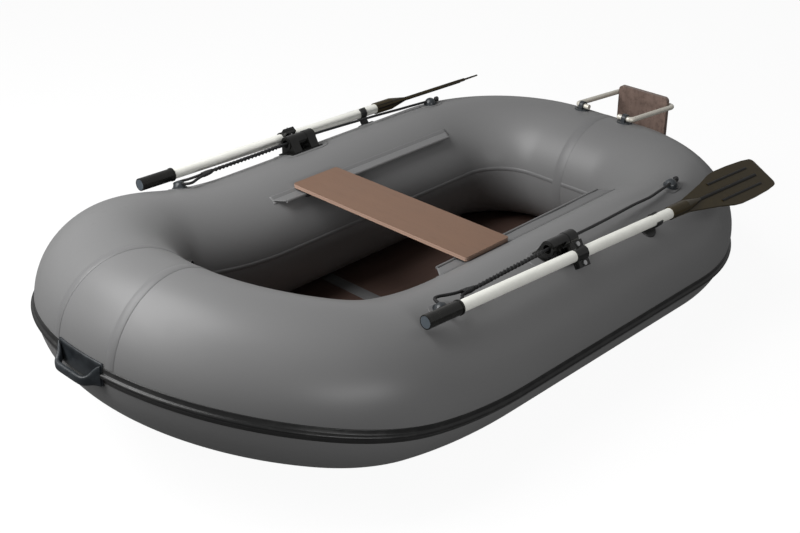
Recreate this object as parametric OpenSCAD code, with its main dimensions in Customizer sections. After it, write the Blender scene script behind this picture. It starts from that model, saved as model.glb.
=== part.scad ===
// Inflatable rowing dinghy: glued fabric tube hull, plywood floor, sliding seat,
// two oars on swivelling oarlocks and a motor bracket at the stern.
// Millimetres. +X to the bow, +Y to port, +Z up, origin on the ground under the cockpit.

/* [Hull] */
// Diameter of the inflated tube
tube_d = 380; // [350:1:400]
// Thickness of the tube fabric
tube_wall = 1.2; // [0.8:0.1:2]
// Distance between the centrelines of the two side tubes
tube_spacing = 858; // [840:1:900]
// Station where the level sides begin to rise to the bow
side_fore_x = 215; // [205:1:235]
// Station where the level sides begin to turn to the stern
side_aft_x = -531; // [-560:1:-525]
// Radius of the upward bend ahead of the level sides
sheer_r = 1200; // [1000:10:1500]
// Angle by which the bow is raised
sheer_angle = 15; // [10:0.5:18]
// Plan radius of the bow shoulders
shoulder_r = 254; // [220:1:300]
// Plan angle turned by each bow shoulder
shoulder_angle = 35; // [25:1:40]
// Plan radius of the stern corners
stern_r = 325; // [280:1:330]
// Thickness of the bottom fabric
skin_t = 1.2; // [0.8:0.1:2]
// Fabric panels in each upward bend
sheer_panels = 3; // [2:1:4]
// Fabric panels in each stern corner
corner_panels = 6; // [4:1:8]
// Half the angle covered by the bow panel
bow_seam_angle = 9; // [7:0.5:12]
// Width of the tape over the stern seam
stern_tape_w = 34; // [24:1:45]
// Width of the seam tapes
seam_tape_w = 24; // [16:1:40]
// Thickness of tapes and glued patches
patch_t = 1.2; // [0.8:0.1:2]

/* [Rub strake and bow handle] */
// Angle of the strake below the tube's widest line
strake_drop = 13; // [8:1:18]
// Width of the strake tape
strake_w = 38; // [30:1:46]
// Thickness of the strake tape
strake_t = 2; // [1:0.5:3]
// Diameter of the strake's round bead
bead_d = 14; // [10:1:18]
// Height of the handle's back plate
handle_pad_w = 58; // [50:1:64]
// Thickness of the handle's back plate
handle_pad_t = 5; // [4:0.5:6]
// Straight length of the handle grip
handle_straight = 86; // [76:1:92]
// Distance from the tube to the middle of the grip
handle_reach = 30; // [28:1:36]
// Thickness of the handle grip
handle_d = 14; // [12:1:15]
// Height of the handle grip
handle_h = 22; // [18:1:26]
// Distance of the grip's middle below the strake's middle
handle_sag = 16; // [8:1:18]

/* [Floor] */
// Thickness of the floor boards
floor_t = 9; // [6:0.5:12]
// Gap between floor boards
floor_gap = 4; // [2:0.5:6]
// Station of the seam between the fore and middle boards
floor_seam_fore_x = -14; // [-60:1:40]
// Station of the seam between the middle and aft boards
floor_seam_aft_x = -430; // [-470:1:-380]
// Distance of the board edges inside the tube centreline
floor_inset = 66; // [64:1:90]
// Width of the fabric hinge strips
hinge_w = 44; // [30:1:60]
// Thickness of the fabric hinge strips
hinge_t = 0.9; // [0.6:0.1:1.2]

/* [Seat] */
// Distance of the seat's ends inside the tube centrelines
seat_inset = 101.5; // [101:0.5:119]
// Width of the seat board along the boat
seat_w = 166; // [140:1:200]
// Thickness of the seat board
seat_t = 12; // [9:0.5:15]
// Station of the middle of the seat
seat_x = 39; // [0:1:60]
// Corner radius of the seat board
seat_corner_r = 8; // [6:1:20]
// Diameter of the bolt rope in the rail
rope_d = 6; // [5:0.5:7]
// Diameter of the hem sewn round the bolt rope
hem_d = 9; // [8.5:0.5:11]
// Thickness of the rail fin
fin_t = 2.4; // [1.6:0.2:3]
// Width of the rail fin from tube to rope
fin_w = 34; // [30:1:40]
// Distance of the bolt rope from the tube centreline
rail_offset = 145; // [142:1:150]
// Height of the bolt rope over the tube centreline
rail_rise = 153.8; // [150:0.2:158]
// Length of the rail in front of the seat's middle
rail_fore = 172; // [150:1:176]
// Length of the rail behind the seat's middle
rail_aft = 545; // [500:1:560]
// Gap between the rail and the seat channel
slide_gap = 0.6; // [0.4:0.1:1]

/* [Oarlock] */
// Station of the oarlock
lock_x = -45; // [-80:1:-20]
// Angle of the oarlock round the tube from its widest line
lock_angle = 74.2; // [73:0.2:76]
// Height of the barrel over the tube
lock_rise = 32; // [31:0.5:34]
// Outer diameter of the barrel that turns in the lugs
barrel_d = 34; // [32:0.5:34]
// Bore of the barrel that the grab line passes through
barrel_bore = 24; // [20:0.5:26]
// Running clearance of turning fits, on the radius
run_gap = 0.06; // [0.03:0.01:0.1]
// Outer diameter of the lugs
lug_d = 42; // [40:0.5:44]
// Length of each lug
lug_len = 30; // [24:1:34]
// Gap between the two lugs
lug_gap = 36; // [34:1:40]
// Distance of the oar outboard of the barrel
oar_out = 58.7; // [57:0.1:62]
// Distance of the oar below the barrel
oar_down = 10.6; // [8:0.1:12]
// Angle of the oar's pivot pin over the horizontal
pin_lean = 33; // [31:0.5:35]
// Diameter of the pivot pin
pin_d = 14; // [12:0.5:16]

/* [Oar] */
// Diameter of the oar shaft
shaft_d = 30; // [28:0.5:30]
// Wall of the oar shaft
shaft_wall = 1.5; // [1:0.1:2.5]
// Length of the oar from the pin to the end of the grip
oar_inboard = 538; // [500:1:560]
// Length of the oar from the pin to the root of the blade
oar_outboard = 384; // [370:1:400]
// Length of the grip
grip_len = 110; // [90:1:130]
// Wall of the grip sleeve
grip_wall = 2.6; // [1.5:0.1:3]
// Length of the blade
blade_len = 462; // [440:1:490]
// Greatest width of the blade
blade_w = 124; // [100:1:126]
// Thickness of the blade
blade_t = 5; // [4:0.5:6]
// Turn of the blade about the shaft against the pin
blade_turn = 29; // [20:1:40]
// Angle at which the stowed oar rises to the grip
oar_rest = 2.7; // [2:0.1:3]
// Length of the oar clamp along the shaft
clamp_len = 40; // [34:1:44]
// Wall of the oar clamp round the shaft
clamp_wall = 4; // [3:0.5:4.5]
// Distance of the oar clip from the pin
clip_dist = 320; // [300:1:340]
// Width of the oar clip
clip_w = 24; // [18:1:30]

/* [Grab line] */
// Diameter of the grab line
line_d = 8; // [6:0.5:8]
// Angle of the fore eyelets round the tube
eye_fore_angle = 71.4; // [71:0.2:72]
// Turn along the upward bend of the fore eyelets
eye_fore_turn = 10.1; // [10:0.1:10.2]
// Angle of the aft eyelets round the tube
eye_aft_angle = 80; // [79.8:0.1:80.2]
// Turn round the stern corner of the aft eyelets
eye_aft_turn = 8.2; // [8:0.1:8.4]
// Radius of the eyelet dome
eye_r = 18; // [16:0.5:20]
// Height of the eyelet's hole over the tube
eye_rise = 11; // [10.5:0.5:12]
// Clearance of the line in the eyelet, on the radius
eye_gap = 0.6; // [0.5:0.1:2]

/* [Air valves] */
// Angle of the valves from the bow tip
valve_turn = 25; // [20:1:35]
// Angle of the valves round the tube
valve_angle = 150; // [140:1:165]
// Radius of the valve flange
valve_flange_r = 24; // [21:0.5:28]
// Radius of the valve barrel
valve_barrel_r = 15; // [13:0.5:17]
// Depth of the valve barrel inside the tube
valve_depth = 28; // [24:1:34]
// Height of the valve cap
valve_cap_h = 9; // [7:0.5:12]
// Travel of the valve stem
stem_travel = 6; // [4:0.5:7]

/* [Motor bracket] */
// Width of the motor plate
plate_w = 186; // [160:1:190]
// Thickness of the motor plate
plate_t = 15; // [12:0.5:24]
// Height of the top of the motor plate
plate_top_z = 403; // [395:1:420]
// Height of the bottom of the motor plate
plate_low_z = 62; // [50:1:70]
// Distance of the plate behind the stern tube
plate_gap = 54; // [45:1:80]
// Diameter of the bracket tubes
bracket_d = 16; // [14:0.5:18]
// Angle of the upper bracket eyelets round the stern tube
bracket_up_angle = 80.3; // [76:0.1:82]
// Angle of the lower bracket eyelets round the stern tube
bracket_low_angle = -32; // [-36:1:-28]
// Angle at which the upper bracket tube drops to the plate
bracket_tilt = 4.5; // [0:0.5:6]
// Distance of the bracket eyelets from the middle
bracket_eye_y = 82; // [76:1:86]

/* [Hidden] */
$fn = 96;

fabric_grey = "#6e6e6f";
black_rubber = "#17181a";
nylon_black = "#23221f";
bare_alloy = "#bdbeb6";
steel = "#a8aaad";
film_ply = "#2e2520";
seat_brown = "#82685a";
plate_brown = "#6c5d56";

glue_t = 0.02;
glue_line = 0.3;
panel_gap = 0.02;
tube_r = tube_d / 2;
half_beam = tube_spacing / 2;
seat_len = tube_spacing - 2 * seat_inset;
axis_z = skin_t + tube_r;
transom_x = side_aft_x - stern_r;
transom_half = half_beam - stern_r;
bow_x = side_fore_x + sheer_r * sin(sheer_angle);
bow_z = axis_z + sheer_r * (1 - cos(sheer_angle));
tip_r = (half_beam - shoulder_r * (1 - cos(shoulder_angle))) / cos(shoulder_angle);
tip_x = (shoulder_r - tip_r) * sin(shoulder_angle);
tip_half = 90 - shoulder_angle;

// Frames on the hull: local x runs along the tube, local z is the tube's outward normal
module bow_plane() {
  translate([bow_x, 0, bow_z]) rotate([0, -sheer_angle, 0]) children();
}
module on_tip(turn, angle) {
  bow_plane() translate([tip_x, 0, 0]) rotate([0, 0, turn]) translate([tip_r, 0, 0])
    rotate([0, 90 - angle, 0]) children();
}
module on_bend(turn, angle) {
  translate([side_fore_x, half_beam, axis_z + sheer_r]) rotate([0, -turn, 0])
    translate([0, 0, -sheer_r]) rotate([angle - 90, 0, 0]) children();
}
module on_side(x, angle) {
  translate([x, half_beam, axis_z]) rotate([angle - 90, 0, 0]) children();
}
module on_corner(turn, angle) {
  translate([side_aft_x, half_beam - stern_r, axis_z]) rotate([0, 0, turn])
    translate([0, stern_r, 0]) rotate([angle - 90, 0, 0]) children();
}
module on_transom(y, angle) {
  translate([transom_x, y, axis_z]) rotate([0, angle - 90, 0]) children();
}
module both_sides() {
  children();
  mirror([0, 1, 0]) children();
}

// Stretches of the hull: the flat child, x outward and y up from the tube axis, is swept along each
module tip_arc(from, to) {
  bow_plane() translate([tip_x, 0, 0]) rotate([0, 0, from])
    rotate_extrude(angle = to - from) translate([tip_r, 0]) children();
}
module shoulder_arc(trim = 0) {
  bow_plane() translate([0, half_beam - shoulder_r, 0]) rotate([0, 0, tip_half + trim])
    rotate_extrude(angle = shoulder_angle - 2 * trim) translate([shoulder_r, 0]) children();
}
module sheer_bend(from = 0, to = sheer_angle) {
  translate([side_fore_x, 0, axis_z + sheer_r]) rotate([90, 90, 0]) rotate([0, 0, from])
    rotate_extrude(angle = to - from, $fn = 480)
      translate([sheer_r, -half_beam]) mirror([1, 1]) children();
}
module side_run() {
  translate([side_aft_x, half_beam, axis_z]) rotate([90, 0, 90])
    linear_extrude(side_fore_x - side_aft_x) children();
}
module stern_corner(from = 0, to = 90) {
  translate([side_aft_x, half_beam - stern_r, axis_z]) rotate([0, 0, 90 + from])
    rotate_extrude(angle = to - from) translate([stern_r, 0]) children();
}
module transom_run(from, to) {
  translate([transom_x, from, axis_z]) rotate([90, 0, 180]) linear_extrude(to - from) children();
}

// Flat shapes
module disc(r) {
  circle(r, $fn = 96);
}
module tube_section() {
  difference() {
    disc(tube_r);
    disc(tube_r - tube_wall);
  }
}
module band_section(thickness, width, angle, lift = 0) {
  half = width / 2 / tube_r * 180 / PI;
  reach = 2 * tube_r;
  rotate(angle) intersection() {
    difference() {
      disc(tube_r + lift + thickness);
      disc(tube_r + lift);
    }
    polygon([[0, 0], [reach, -reach * tan(half)], [reach, reach * tan(half)]]);
  }
}
module rounded_rect(length, width, r) {
  square([length - 2 * r, width], center = true);
  square([length, width - 2 * r], center = true);
  for (x = [-1, 1], y = [-1, 1]) translate([x * (length / 2 - r), y * (width / 2 - r)]) circle(r);
}
module stadium(length, width) {
  square([length - width, width], center = true);
  for (x = [-1, 1]) translate([x * (length - width) / 2, 0]) circle(d = width);
}
function arc_points(x, y, r, from, to, steps = 12) =
  [for (i = [0:steps]) let (a = from + (to - from) * i / steps) [x + r * cos(a), y + r * sin(a)]];
module level_plan(inset) {
  polygon(concat(
    [[side_fore_x, inset - half_beam], [side_fore_x, half_beam - inset]],
    arc_points(side_aft_x, transom_half, stern_r - inset, 90, 180),
    arc_points(side_aft_x, -transom_half, stern_r - inset, 180, 270)));
}
module bow_plan(inset) {
  polygon(concat(
    [[0, inset - half_beam]],
    arc_points(0, shoulder_r - half_beam, shoulder_r - inset, -90, -tip_half),
    arc_points(tip_x, 0, tip_r - inset, -tip_half, tip_half),
    arc_points(0, half_beam - shoulder_r, shoulder_r - inset, tip_half, 90)));
}

// Hull fabric
module bow_tube() {
  color(fabric_grey) difference() {
    tip_arc(bow_seam_angle, tip_half) tube_section();
    on_tip(valve_turn, valve_angle) translate([0, 0, tube_r - valve_depth])
      cylinder(r = valve_barrel_r, h = 2 * valve_depth);
  }
}
module port_bow_tube() {
  bow_tube();
}
module starboard_bow_tube() {
  mirror([0, 1, 0]) bow_tube();
}
module shoulder_tubes() {
  color(fabric_grey) both_sides() shoulder_arc() tube_section();
}
module sheer_tubes() {
  step = sheer_angle / sheer_panels;
  trim = panel_gap / 2 / sheer_r * 180 / PI;
  color(fabric_grey) both_sides() for (i = [0:sheer_panels - 1])
    sheer_bend(i * step + trim, (i + 1) * step - trim) tube_section();
}
module side_tubes() {
  color(fabric_grey) both_sides() side_run() tube_section();
}
module stern_corner_tubes() {
  step = 90 / corner_panels;
  trim = panel_gap / 2 / stern_r * 180 / PI;
  color(fabric_grey) both_sides() {
    for (i = [0:corner_panels - 1])
      stern_corner(i * step + trim, (i + 1) * step - trim) tube_section();
    transom_run(panel_gap / 2, transom_half) tube_section();
  }
}
module bow_panel() {
  color(fabric_grey) tip_arc(-bow_seam_angle, bow_seam_angle) tube_section();
}
module chamber_bulkheads() {
  fit = 0.1;
  color(fabric_grey) {
    bow_plane() translate([tip_x + tip_r, tube_wall / 2, 0]) rotate([90, 0, 0])
      cylinder(r = tube_r - tube_wall - fit, h = tube_wall);
    translate([transom_x, tube_wall / 2, axis_z]) rotate([90, 0, 0])
      cylinder(r = tube_r - tube_wall - fit, h = tube_wall);
  }
}
module seam_tapes() {
  tape_turn = seam_tape_w / 2 / (tip_r + tube_r) * 180 / PI;
  color(fabric_grey) {
    for (side = [-1, 1])
      tip_arc(side * bow_seam_angle - tape_turn, side * bow_seam_angle + tape_turn) tape_section();
    transom_run(-stern_tape_w / 2, stern_tape_w / 2) tape_section();
  }
}
module tape_section() {
  slit = 0.2;
  lowest = strake_w / 2 / tube_r * 180 / PI + 0.6 - strake_drop;
  highest = 187;
  stops = [lowest, 0, 90, 180, highest];
  for (i = [0:len(stops) - 2]) {
    width = (stops[i + 1] - stops[i] - 2 * slit) * PI / 180 * tube_r;
    band_section(patch_t, width, (stops[i] + stops[i + 1]) / 2, glue_t);
  }
}
module bottom_skin() {
  color(fabric_grey) {
    linear_extrude(skin_t) level_plan(0);
    translate([side_fore_x, 0, axis_z + sheer_r]) rotate([90, 90, 0])
      rotate_extrude(angle = sheer_angle) translate([sheer_r + tube_r, -half_beam])
        square([skin_t, 2 * half_beam]);
    bow_plane() translate([0, 0, -tube_r - skin_t]) linear_extrude(skin_t) bow_plan(0);
  }
}

// Rub strake and bow handle
handle_corner = 18;
handle_flare = 22;
handle_half = (handle_straight / 2 + handle_corner + handle_flare) / (tip_r + tube_r) * 180 / PI;
module strake_section() {
  band_section(strake_t, strake_w, -strake_drop);
  rotate(-strake_drop) difference() {
    translate([tube_r + strake_t, 0]) disc(bead_d / 2);
    disc(tube_r);
  }
}
module rub_strake() {
  butt = 0.01;
  color(black_rubber) {
    both_sides() {
      tip_arc(handle_half + butt, tip_half - butt) strake_section();
      shoulder_arc(butt) strake_section();
      sheer_bend() strake_section();
      side_run() strake_section();
      stern_corner() strake_section();
    }
    transom_run(-transom_half, transom_half) strake_section();
  }
}
module handle_plate() {
  color(black_rubber) tip_arc(-handle_half, handle_half)
    band_section(handle_pad_t, handle_pad_w, -strake_drop);
}
module handle_section() {
  translate([0, -handle_sag]) rotate(90) stadium(handle_h, handle_d);
}
module bow_handle() {
  fit = 0.1;
  plate_r = (tip_r + tube_r) / cos(strake_drop);
  leg_y = handle_straight / 2 + handle_corner;
  color(black_rubber) on_tip(0, -strake_drop) rotate([0, -90, 0]) {
    translate([tube_r + handle_reach, handle_straight / 2, 0]) rotate([90, 0, 0])
      linear_extrude(handle_straight) handle_section();
    both_sides() {
      translate([tube_r + handle_reach - handle_corner, handle_straight / 2, 0])
        rotate_extrude(angle = 90) translate([handle_corner, 0]) handle_section();
      difference() {
        translate([tube_r - handle_pad_t, leg_y, 0]) rotate([90, 0, 90])
          linear_extrude(handle_reach - handle_corner + handle_pad_t) handle_section();
        translate([tube_r + handle_pad_t + fit - plate_r, 0, -2 * handle_h])
          cylinder(r = plate_r, h = 4 * handle_h, $fn = 720);
      }
    }
  }
}

// Floor
module floor_board(from, to) {
  color(film_ply) translate([0, 0, skin_t]) linear_extrude(floor_t) intersection() {
    level_plan(floor_inset);
    translate([from, -half_beam]) square([to - from, 2 * half_beam]);
  }
}
module floor_aft_board() {
  floor_board(transom_x, floor_seam_aft_x - floor_gap / 2);
}
module floor_mid_board() {
  floor_board(floor_seam_aft_x + floor_gap / 2, floor_seam_fore_x - floor_gap / 2);
}
module floor_fore_board() {
  floor_board(floor_seam_fore_x + floor_gap / 2, side_fore_x - floor_gap / 2);
}
bow_board_corner = 40;
module floor_bow_board() {
  chord = 2 * (sheer_r + tube_r) * sin(sheer_angle / 2);
  rise_clear = 30;
  lift = 0.2;
  w = 2 * (half_beam - floor_inset - rise_clear);
  length = chord - floor_gap;
  color(film_ply) translate([side_fore_x, 0, skin_t]) rotate([0, -sheer_angle / 2, 0])
    translate([floor_gap / 2 + length / 2, 0, lift]) linear_extrude(floor_t)
      rounded_rect(length, w, bow_board_corner);
}
module floor_hinges() {
  w = 2 * (half_beam - floor_inset - 8);
  color(fabric_grey) for (x = [floor_seam_fore_x, floor_seam_aft_x])
    translate([x - hinge_w / 2, -w / 2, skin_t + floor_t]) cube([hinge_w, w, hinge_t]);
}

// Seat and its rails
rail_y = half_beam - rail_offset;
rail_z = axis_z + rail_rise;
channel_w = 16;
channel_drop = 7;
seat_low_z = rail_z + channel_w - channel_drop;
rail_len = rail_fore + rail_aft;
module on_rail_start() {
  translate([seat_x - rail_aft, half_beam, axis_z]) rotate([90, 0, 90]) children();
}
module seat_rail() {
  base_w = 26;
  slant = 26;
  base_angle = 180 - atan(rail_rise / (rail_offset - fin_w));
  color(fabric_grey) difference() {
    on_rail_start() linear_extrude(rail_len) {
      band_section(patch_t, base_w, base_angle);
      difference() {
        union() {
          translate([-rail_offset, rail_rise - fin_t / 2]) square([rail_offset, fin_t]);
          translate([-rail_offset, rail_rise]) circle(d = hem_d);
        }
        circle(tube_r);
        translate([-rail_offset, rail_rise]) circle(d = rope_d);
      }
    }
    for (end = [0, 1]) translate([seat_x - rail_aft + end * rail_len, rail_y, rail_z - hem_d])
      rotate([0, 0, end == 0 ? 0 : 180]) mirror([0, end, 0]) linear_extrude(2 * hem_d)
        polygon([[-1, -hem_d], [slant, -hem_d], [-1, fin_w]]);
  }
}
module rail_rope() {
  inset = 22;
  color(nylon_black) translate([seat_x - rail_aft + inset, rail_y, rail_z]) rotate([0, 90, 0])
    cylinder(d = rope_d, h = rail_len - 2 * inset);
}
module seat_rails() {
  both_sides() seat_rail();
}
module rail_ropes() {
  both_sides() rail_rope();
}
screw_d = 4;
screw_hold = 8;
flange_t = 3;
flange_w = 18;
module at_screws() {
  both_sides() for (i = [-1:1])
    translate([seat_x + i * seat_w / 3, rail_y - channel_w / 2 - flange_w / 2, seat_low_z]) children();
}
module seat_board() {
  color(seat_brown) difference() {
    translate([seat_x, 0, seat_low_z]) linear_extrude(seat_t)
      rounded_rect(seat_w, seat_len, seat_corner_r);
    at_screws() translate([0, 0, -1]) cylinder(d = screw_d, h = screw_hold + 1);
  }
}
module seat_channel() {
  length = seat_w - 12;
  slot = fin_t + 2 * slide_gap;
  color(bare_alloy) difference() {
    translate([seat_x - length / 2, rail_y, rail_z]) rotate([90, 0, 90]) linear_extrude(length)
      difference() {
        union() {
          translate([-channel_w / 2, -channel_drop]) square(channel_w);
          translate([-channel_w / 2 - flange_w, channel_w - channel_drop - flange_t])
            square([flange_w + 1, flange_t]);
        }
        circle(d = hem_d + 2 * slide_gap);
        translate([0, -slot / 2]) square([channel_w, slot]);
      }
    at_screws() translate([0, 0, -flange_t - 1]) cylinder(d = screw_d, h = flange_t + 2);
  }
}
module seat_channels() {
  both_sides() seat_channel();
}
module seat_screws() {
  head_d = 9;
  head_h = 2.6;
  color(steel) at_screws() {
    translate([0, 0, -flange_t]) cylinder(d = screw_d, h = flange_t + screw_hold);
    translate([0, 0, -flange_t - head_h]) cylinder(d = head_d, h = head_h);
  }
}

// Oarlock
lock_y = half_beam + (tube_r + lock_rise) * cos(lock_angle);
lock_z = axis_z + (tube_r + lock_rise) * sin(lock_angle);
pin_y = lock_y + oar_out;
pin_z = lock_z - oar_down;
lug_out = lug_gap / 2 + lug_len;
foot_w = 62;
module on_pin() {
  translate([lock_x, pin_y, pin_z]) rotate([pin_lean - 90, 0, 0]) children();
}
module x_rod(d, from, to) {
  translate([from, 0, 0]) rotate([0, 90, 0]) cylinder(d = d, h = to - from);
}
module oarlock_base() {
  foot_t = 4;
  foot_len = 2 * lug_out + 24;
  neck = lug_d / 2 - 0.5;
  color(nylon_black) difference() {
    union() {
      translate([lock_x - foot_len / 2, half_beam, axis_z]) rotate([90, 0, 90])
        linear_extrude(foot_len) band_section(foot_t, foot_w, lock_angle, patch_t + glue_line);
      on_side(lock_x, lock_angle) for (end = [-lug_out, lug_gap / 2])
        translate([end, 0, 0]) rotate([90, 0, 90]) linear_extrude(lug_len) {
          polygon([
            [-foot_w / 2, tube_r], [foot_w / 2, tube_r],
            [neck, tube_r + lock_rise + 4], [-neck, tube_r + lock_rise + 4]]);
          translate([0, tube_r + lock_rise]) circle(d = lug_d);
        }
    }
    on_side(lock_x, lock_angle) x_rod(2 * (tube_r + patch_t + glue_line), -foot_len, foot_len);
    translate([lock_x, lock_y, lock_z]) x_rod(barrel_d + 2 * run_gap, -foot_len, foot_len);
  }
}
module port_oarlock_base() {
  oarlock_base();
}
module starboard_oarlock_base() {
  mirror([0, 1, 0]) oarlock_base();
}
module oarlock_patch() {
  length = 190;
  intersection() {
    translate([lock_x - length / 2, half_beam, axis_z]) rotate([90, 0, 90]) linear_extrude(length)
      band_section(patch_t, 2 * foot_w, lock_angle);
    on_side(lock_x, lock_angle) translate([0, 0, tube_r - foot_w / 2]) linear_extrude(foot_w)
      stadium(length, foot_w + 24);
  }
}
boss_top = shaft_d / 2 + clamp_wall + 2;
boss_low = boss_top + 19;
module oar_swivel() {
  rim_t = 2.6;
  play = 0.3;
  boss_d = pin_d + 8;
  arm_t = 13;
  color(nylon_black) difference() {
    union() {
      translate([lock_x, lock_y, lock_z]) {
        x_rod(barrel_d, -lug_out - play - rim_t, lug_out + play + rim_t);
        x_rod(lug_d - 2, -lug_gap / 2 + play, lug_gap / 2 - play);
        for (end = [-lug_out - play - rim_t, lug_out + play]) x_rod(lug_d - 2, end, end + rim_t);
      }
      on_pin() translate([0, 0, -boss_low]) {
        cylinder(d = boss_d, h = boss_low - boss_top);
        translate([-boss_d / 2, -arm_reach(), 0]) cube([boss_d, arm_reach(), arm_t]);
      }
    }
    translate([lock_x, lock_y, lock_z]) x_rod(barrel_bore, -2 * lug_out, 2 * lug_out);
    on_pin() translate([0, 0, -boss_low - 1])
      cylinder(d = pin_d + 2 * run_gap, h = boss_low - boss_top + 2);
  }
}
function arm_reach() = oar_out * sin(pin_lean) + oar_down * cos(pin_lean);
module port_oar_swivel() {
  oar_swivel();
}
module starboard_oar_swivel() {
  mirror([0, 1, 0]) oar_swivel();
}

// Oar: local x runs to the grip, local z along the pivot pin
blade_root = 60;
module on_oar() {
  on_pin() rotate([0, 0, -oar_rest]) children();
}
module oar_shaft() {
  plug_seat = 8;
  color(bare_alloy) on_oar() difference() {
    x_rod(shaft_d, -oar_outboard - blade_root, oar_inboard - plug_seat);
    x_rod(shaft_d - 2 * shaft_wall, -oar_outboard - blade_root - 1, oar_inboard);
  }
}
module oar_grip() {
  color(nylon_black) on_oar() difference() {
    union() {
      x_rod(shaft_d + 2 * grip_wall, oar_inboard - grip_len, oar_inboard);
      x_rod(shaft_d + 2 * grip_wall + 3, oar_inboard - grip_len, oar_inboard - grip_len + 5);
    }
    x_rod(shaft_d, oar_inboard - grip_len - 1, oar_inboard + 1);
  }
}
module oar_plug() {
  head = 8;
  spigot = 22;
  color(nylon_black) on_oar() {
    x_rod(shaft_d, oar_inboard - head, oar_inboard);
    x_rod(shaft_d - 2 * shaft_wall, oar_inboard - head - spigot, oar_inboard - head);
  }
}
module blade_outline() {
  half = blade_w / 2;
  end_half = 0.87 * half;
  end_r = 16;
  socket = shaft_d / 2 + 3;
  edge = [
    [0, socket], [-0.16 * blade_len, socket + 2], [-0.28 * blade_len, 0.5 * half],
    [-0.41 * blade_len, 0.69 * half], [-0.53 * blade_len, 0.93 * half], [-0.6 * blade_len, half],
    [-0.74 * blade_len, half], [-0.9 * blade_len, 0.94 * half], [end_r - blade_len, end_half],
    [-blade_len, end_half - end_r]];
  last = len(edge) - 1;
  polygon(concat(edge, [for (i = [0:last]) [edge[last - i][0], -edge[last - i][1]]]));
  for (y = [-1, 1]) translate([end_r - blade_len, y * (end_half - end_r)]) circle(end_r);
}
blade_neck = 70;
blade_rib_start = 80;
module oar_blade() {
  socket_d = shaft_d + 6;
  rib_d = 12;
  side_rib = 5;
  color(nylon_black) on_oar() rotate([blade_turn, 0, 0]) difference() {
    union() {
      translate([-oar_outboard, 0, -blade_t / 2]) linear_extrude(blade_t) blade_outline();
      x_rod(socket_d, -oar_outboard - blade_root - 12, -oar_outboard);
      translate([-oar_outboard - blade_root - 12, 0, 0]) rotate([0, -90, 0])
        cylinder(d1 = socket_d, d2 = rib_d, h = blade_neck);
      x_rod(rib_d, -oar_outboard - 0.9 * blade_len, -oar_outboard - blade_root - blade_rib_start);
      for (y = [-1, 1]) translate([-oar_outboard, y * 0.5 * blade_w / 2, 0])
        x_rod(2 * side_rib, -0.88 * blade_len, -0.46 * blade_len);
    }
    x_rod(shaft_d, -oar_outboard - blade_root, -oar_outboard + 1);
  }
}
bolt_d = 6;
bolt_y = shaft_d / 2 + 10;
ear_t = 9;
split = 0.6;
module clamp_blank() {
  x_rod(shaft_d + 2 * clamp_wall, -clamp_len / 2, clamp_len / 2);
  translate([-clamp_len / 2, -bolt_y - 9, -ear_t]) cube([clamp_len, 2 * bolt_y + 18, 2 * ear_t]);
}
module clamp_cuts() {
  x_rod(shaft_d, -clamp_len, clamp_len);
  for (y = [-bolt_y, bolt_y]) translate([0, y, -2 * ear_t]) cylinder(d = bolt_d, h = 4 * ear_t);
}
module clamp_base() {
  color(nylon_black) on_oar() {
    difference() {
      clamp_blank();
      clamp_cuts();
      translate([-clamp_len, -2 * bolt_y, -split]) cube([2 * clamp_len, 4 * bolt_y, shaft_d]);
    }
    difference() {
      translate([0, 0, -boss_low]) cylinder(d = pin_d, h = boss_low - shaft_d / 2);
      x_rod(shaft_d, -clamp_len, clamp_len);
    }
  }
}
module clamp_cap() {
  color(nylon_black) on_oar() difference() {
    clamp_blank();
    clamp_cuts();
    translate([-clamp_len, -2 * bolt_y, split - shaft_d]) cube([2 * clamp_len, 4 * bolt_y, shaft_d]);
  }
}
module clamp_bolts() {
  head_h = 4;
  color(steel) on_oar() for (y = [-bolt_y, bolt_y]) translate([0, y, 0]) {
    translate([0, 0, -ear_t - head_h]) cylinder(d = bolt_d, h = 2 * (ear_t + head_h));
    translate([0, 0, ear_t]) cylinder(d = 2 * bolt_d, h = head_h);
    translate([0, 0, -ear_t - head_h]) cylinder(d = 1.8 * bolt_d, h = head_h, $fn = 6);
  }
}
module port_oar_shaft() {
  oar_shaft();
}
module starboard_oar_shaft() {
  mirror([0, 1, 0]) oar_shaft();
}
module port_oar_grip() {
  oar_grip();
}
module starboard_oar_grip() {
  mirror([0, 1, 0]) oar_grip();
}
module port_oar_plug() {
  oar_plug();
}
module starboard_oar_plug() {
  mirror([0, 1, 0]) oar_plug();
}
module port_oar_blade() {
  oar_blade();
}
module starboard_oar_blade() {
  mirror([0, 1, 0]) oar_blade();
}
module port_clamp_base() {
  clamp_base();
}
module starboard_clamp_base() {
  mirror([0, 1, 0]) clamp_base();
}
module port_clamp_cap() {
  clamp_cap();
}
module starboard_clamp_cap() {
  mirror([0, 1, 0]) clamp_cap();
}
module port_clamp_bolts() {
  clamp_bolts();
}
module starboard_clamp_bolts() {
  mirror([0, 1, 0]) clamp_bolts();
}

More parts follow.
